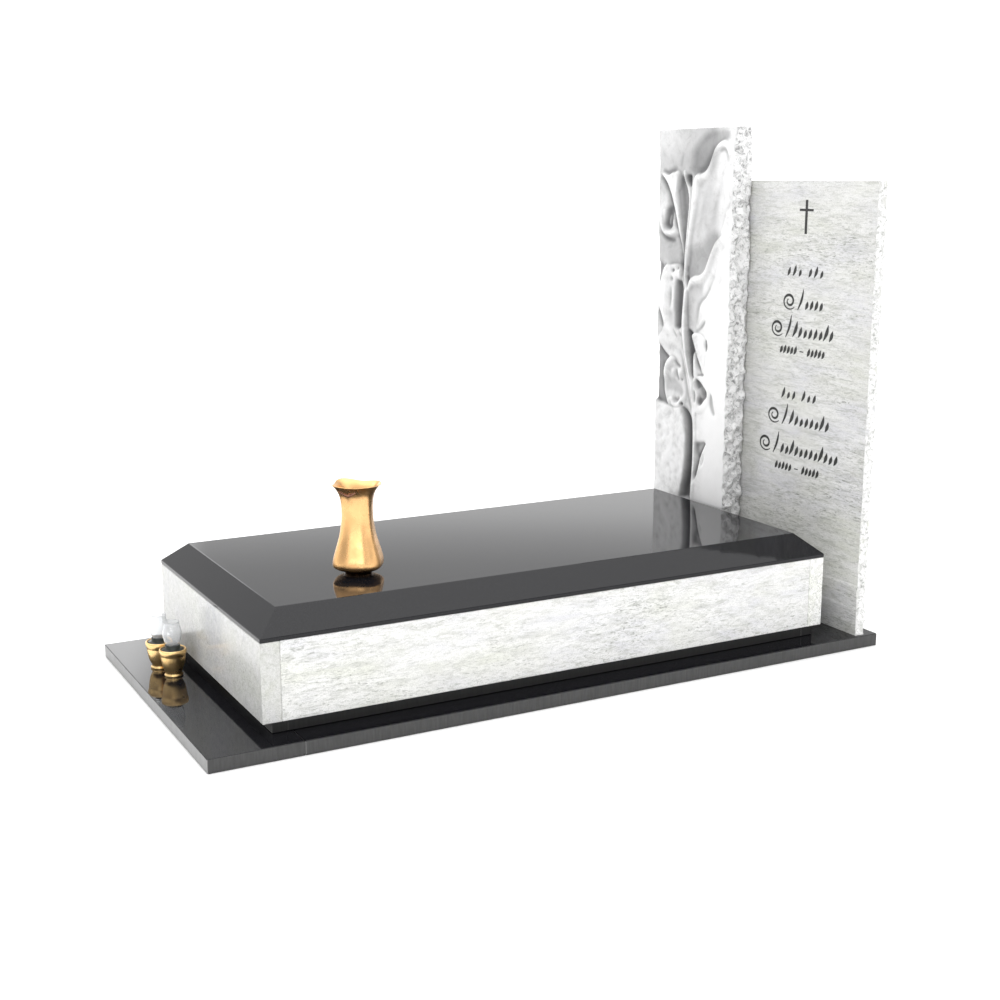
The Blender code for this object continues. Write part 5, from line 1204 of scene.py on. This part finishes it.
def patch(azimuth, height, inner, outer, low, high):
    """A soft round patch of the studio wall: low outside it, high inside."""
    aim = wt.nodes.new("ShaderNodeVectorMath")
    aim.operation = "DOT_PRODUCT"
    wt.links.new(tc.outputs["Generated"], aim.inputs[0])
    az, el = math.radians(azimuth), math.radians(height)
    aim.inputs[1].default_value = (math.cos(az) * math.cos(el), math.sin(az) * math.cos(el), math.sin(el))
    run = wt.nodes.new("ShaderNodeMapRange")
    run.interpolation_type = "SMOOTHSTEP"
    run.inputs["From Min"].default_value = math.cos(math.radians(outer))
    run.inputs["From Max"].default_value = math.cos(math.radians(inner))
    run.inputs["To Min"].default_value = low
    run.inputs["To Max"].default_value = high
    wt.links.new(aim.outputs["Value"], run.inputs["Value"])
    return run.outputs[0]


# a bright screen low behind the left end
both = wt.nodes.new("ShaderNodeMath")
both.operation = "ADD"
wt.links.new(mul.outputs[0], both.inputs[0])
wt.links.new(patch(175.0, 14.0, 8.8, 11.4, 0.0, 0.52), both.inputs[1])
wt.links.new(both.outputs[0], bg.inputs["Strength"])
bg.inputs["Color"].default_value = (4, 4, 4, 1)


def area(name, loc, target, size, power):
    l = bpy.data.lights.new(name, "AREA")
    l.shape = "SQUARE"
    l.size = size
    l.energy = power
    o = bpy.data.objects.new(name, l)
    scene.collection.objects.link(o)
    o.location = loc
    o.rotation_euler = (Vector(target) - Vector(loc)).to_track_quat("-Z", "Y").to_euler()
    return o


area("side_soft", (6.0, -0.5, 3.0), (0, 0, 0.4), 3.5, 16)
area("vase_soft", (3.3, -2.85, 1.55), (0.157, -0.484, 0.5), 1.5, 18)
area("left_soft", (-2.8, -3.3, 5.6), (-0.2, 0.6, 0.9), 1.6, 25)

# ================================================================= camera
cam_data = bpy.data.cameras.new("camera")
cam_data.sensor_width = 36.0
cam_data.sensor_fit = "HORIZONTAL"
cam_data.lens = 36.0 * 1465.77 / 1000.0
cam_data.clip_end = 200
camera = bpy.data.objects.new("camera", cam_data)
scene.collection.objects.link(camera)
yaw, pitch = math.radians(28.299), math.radians(12.381)
look = Vector((-math.cos(yaw) * math.cos(pitch), math.sin(yaw) * math.cos(pitch), -math.sin(pitch)))
camera.location = (3.5496, -1.8959, 1.3270)
camera.rotation_euler = look.to_track_quat("-Z", "Y").to_euler()
scene.camera = camera
scene.view_settings.view_transform = "Standard"
scene.view_settings.look = "None"
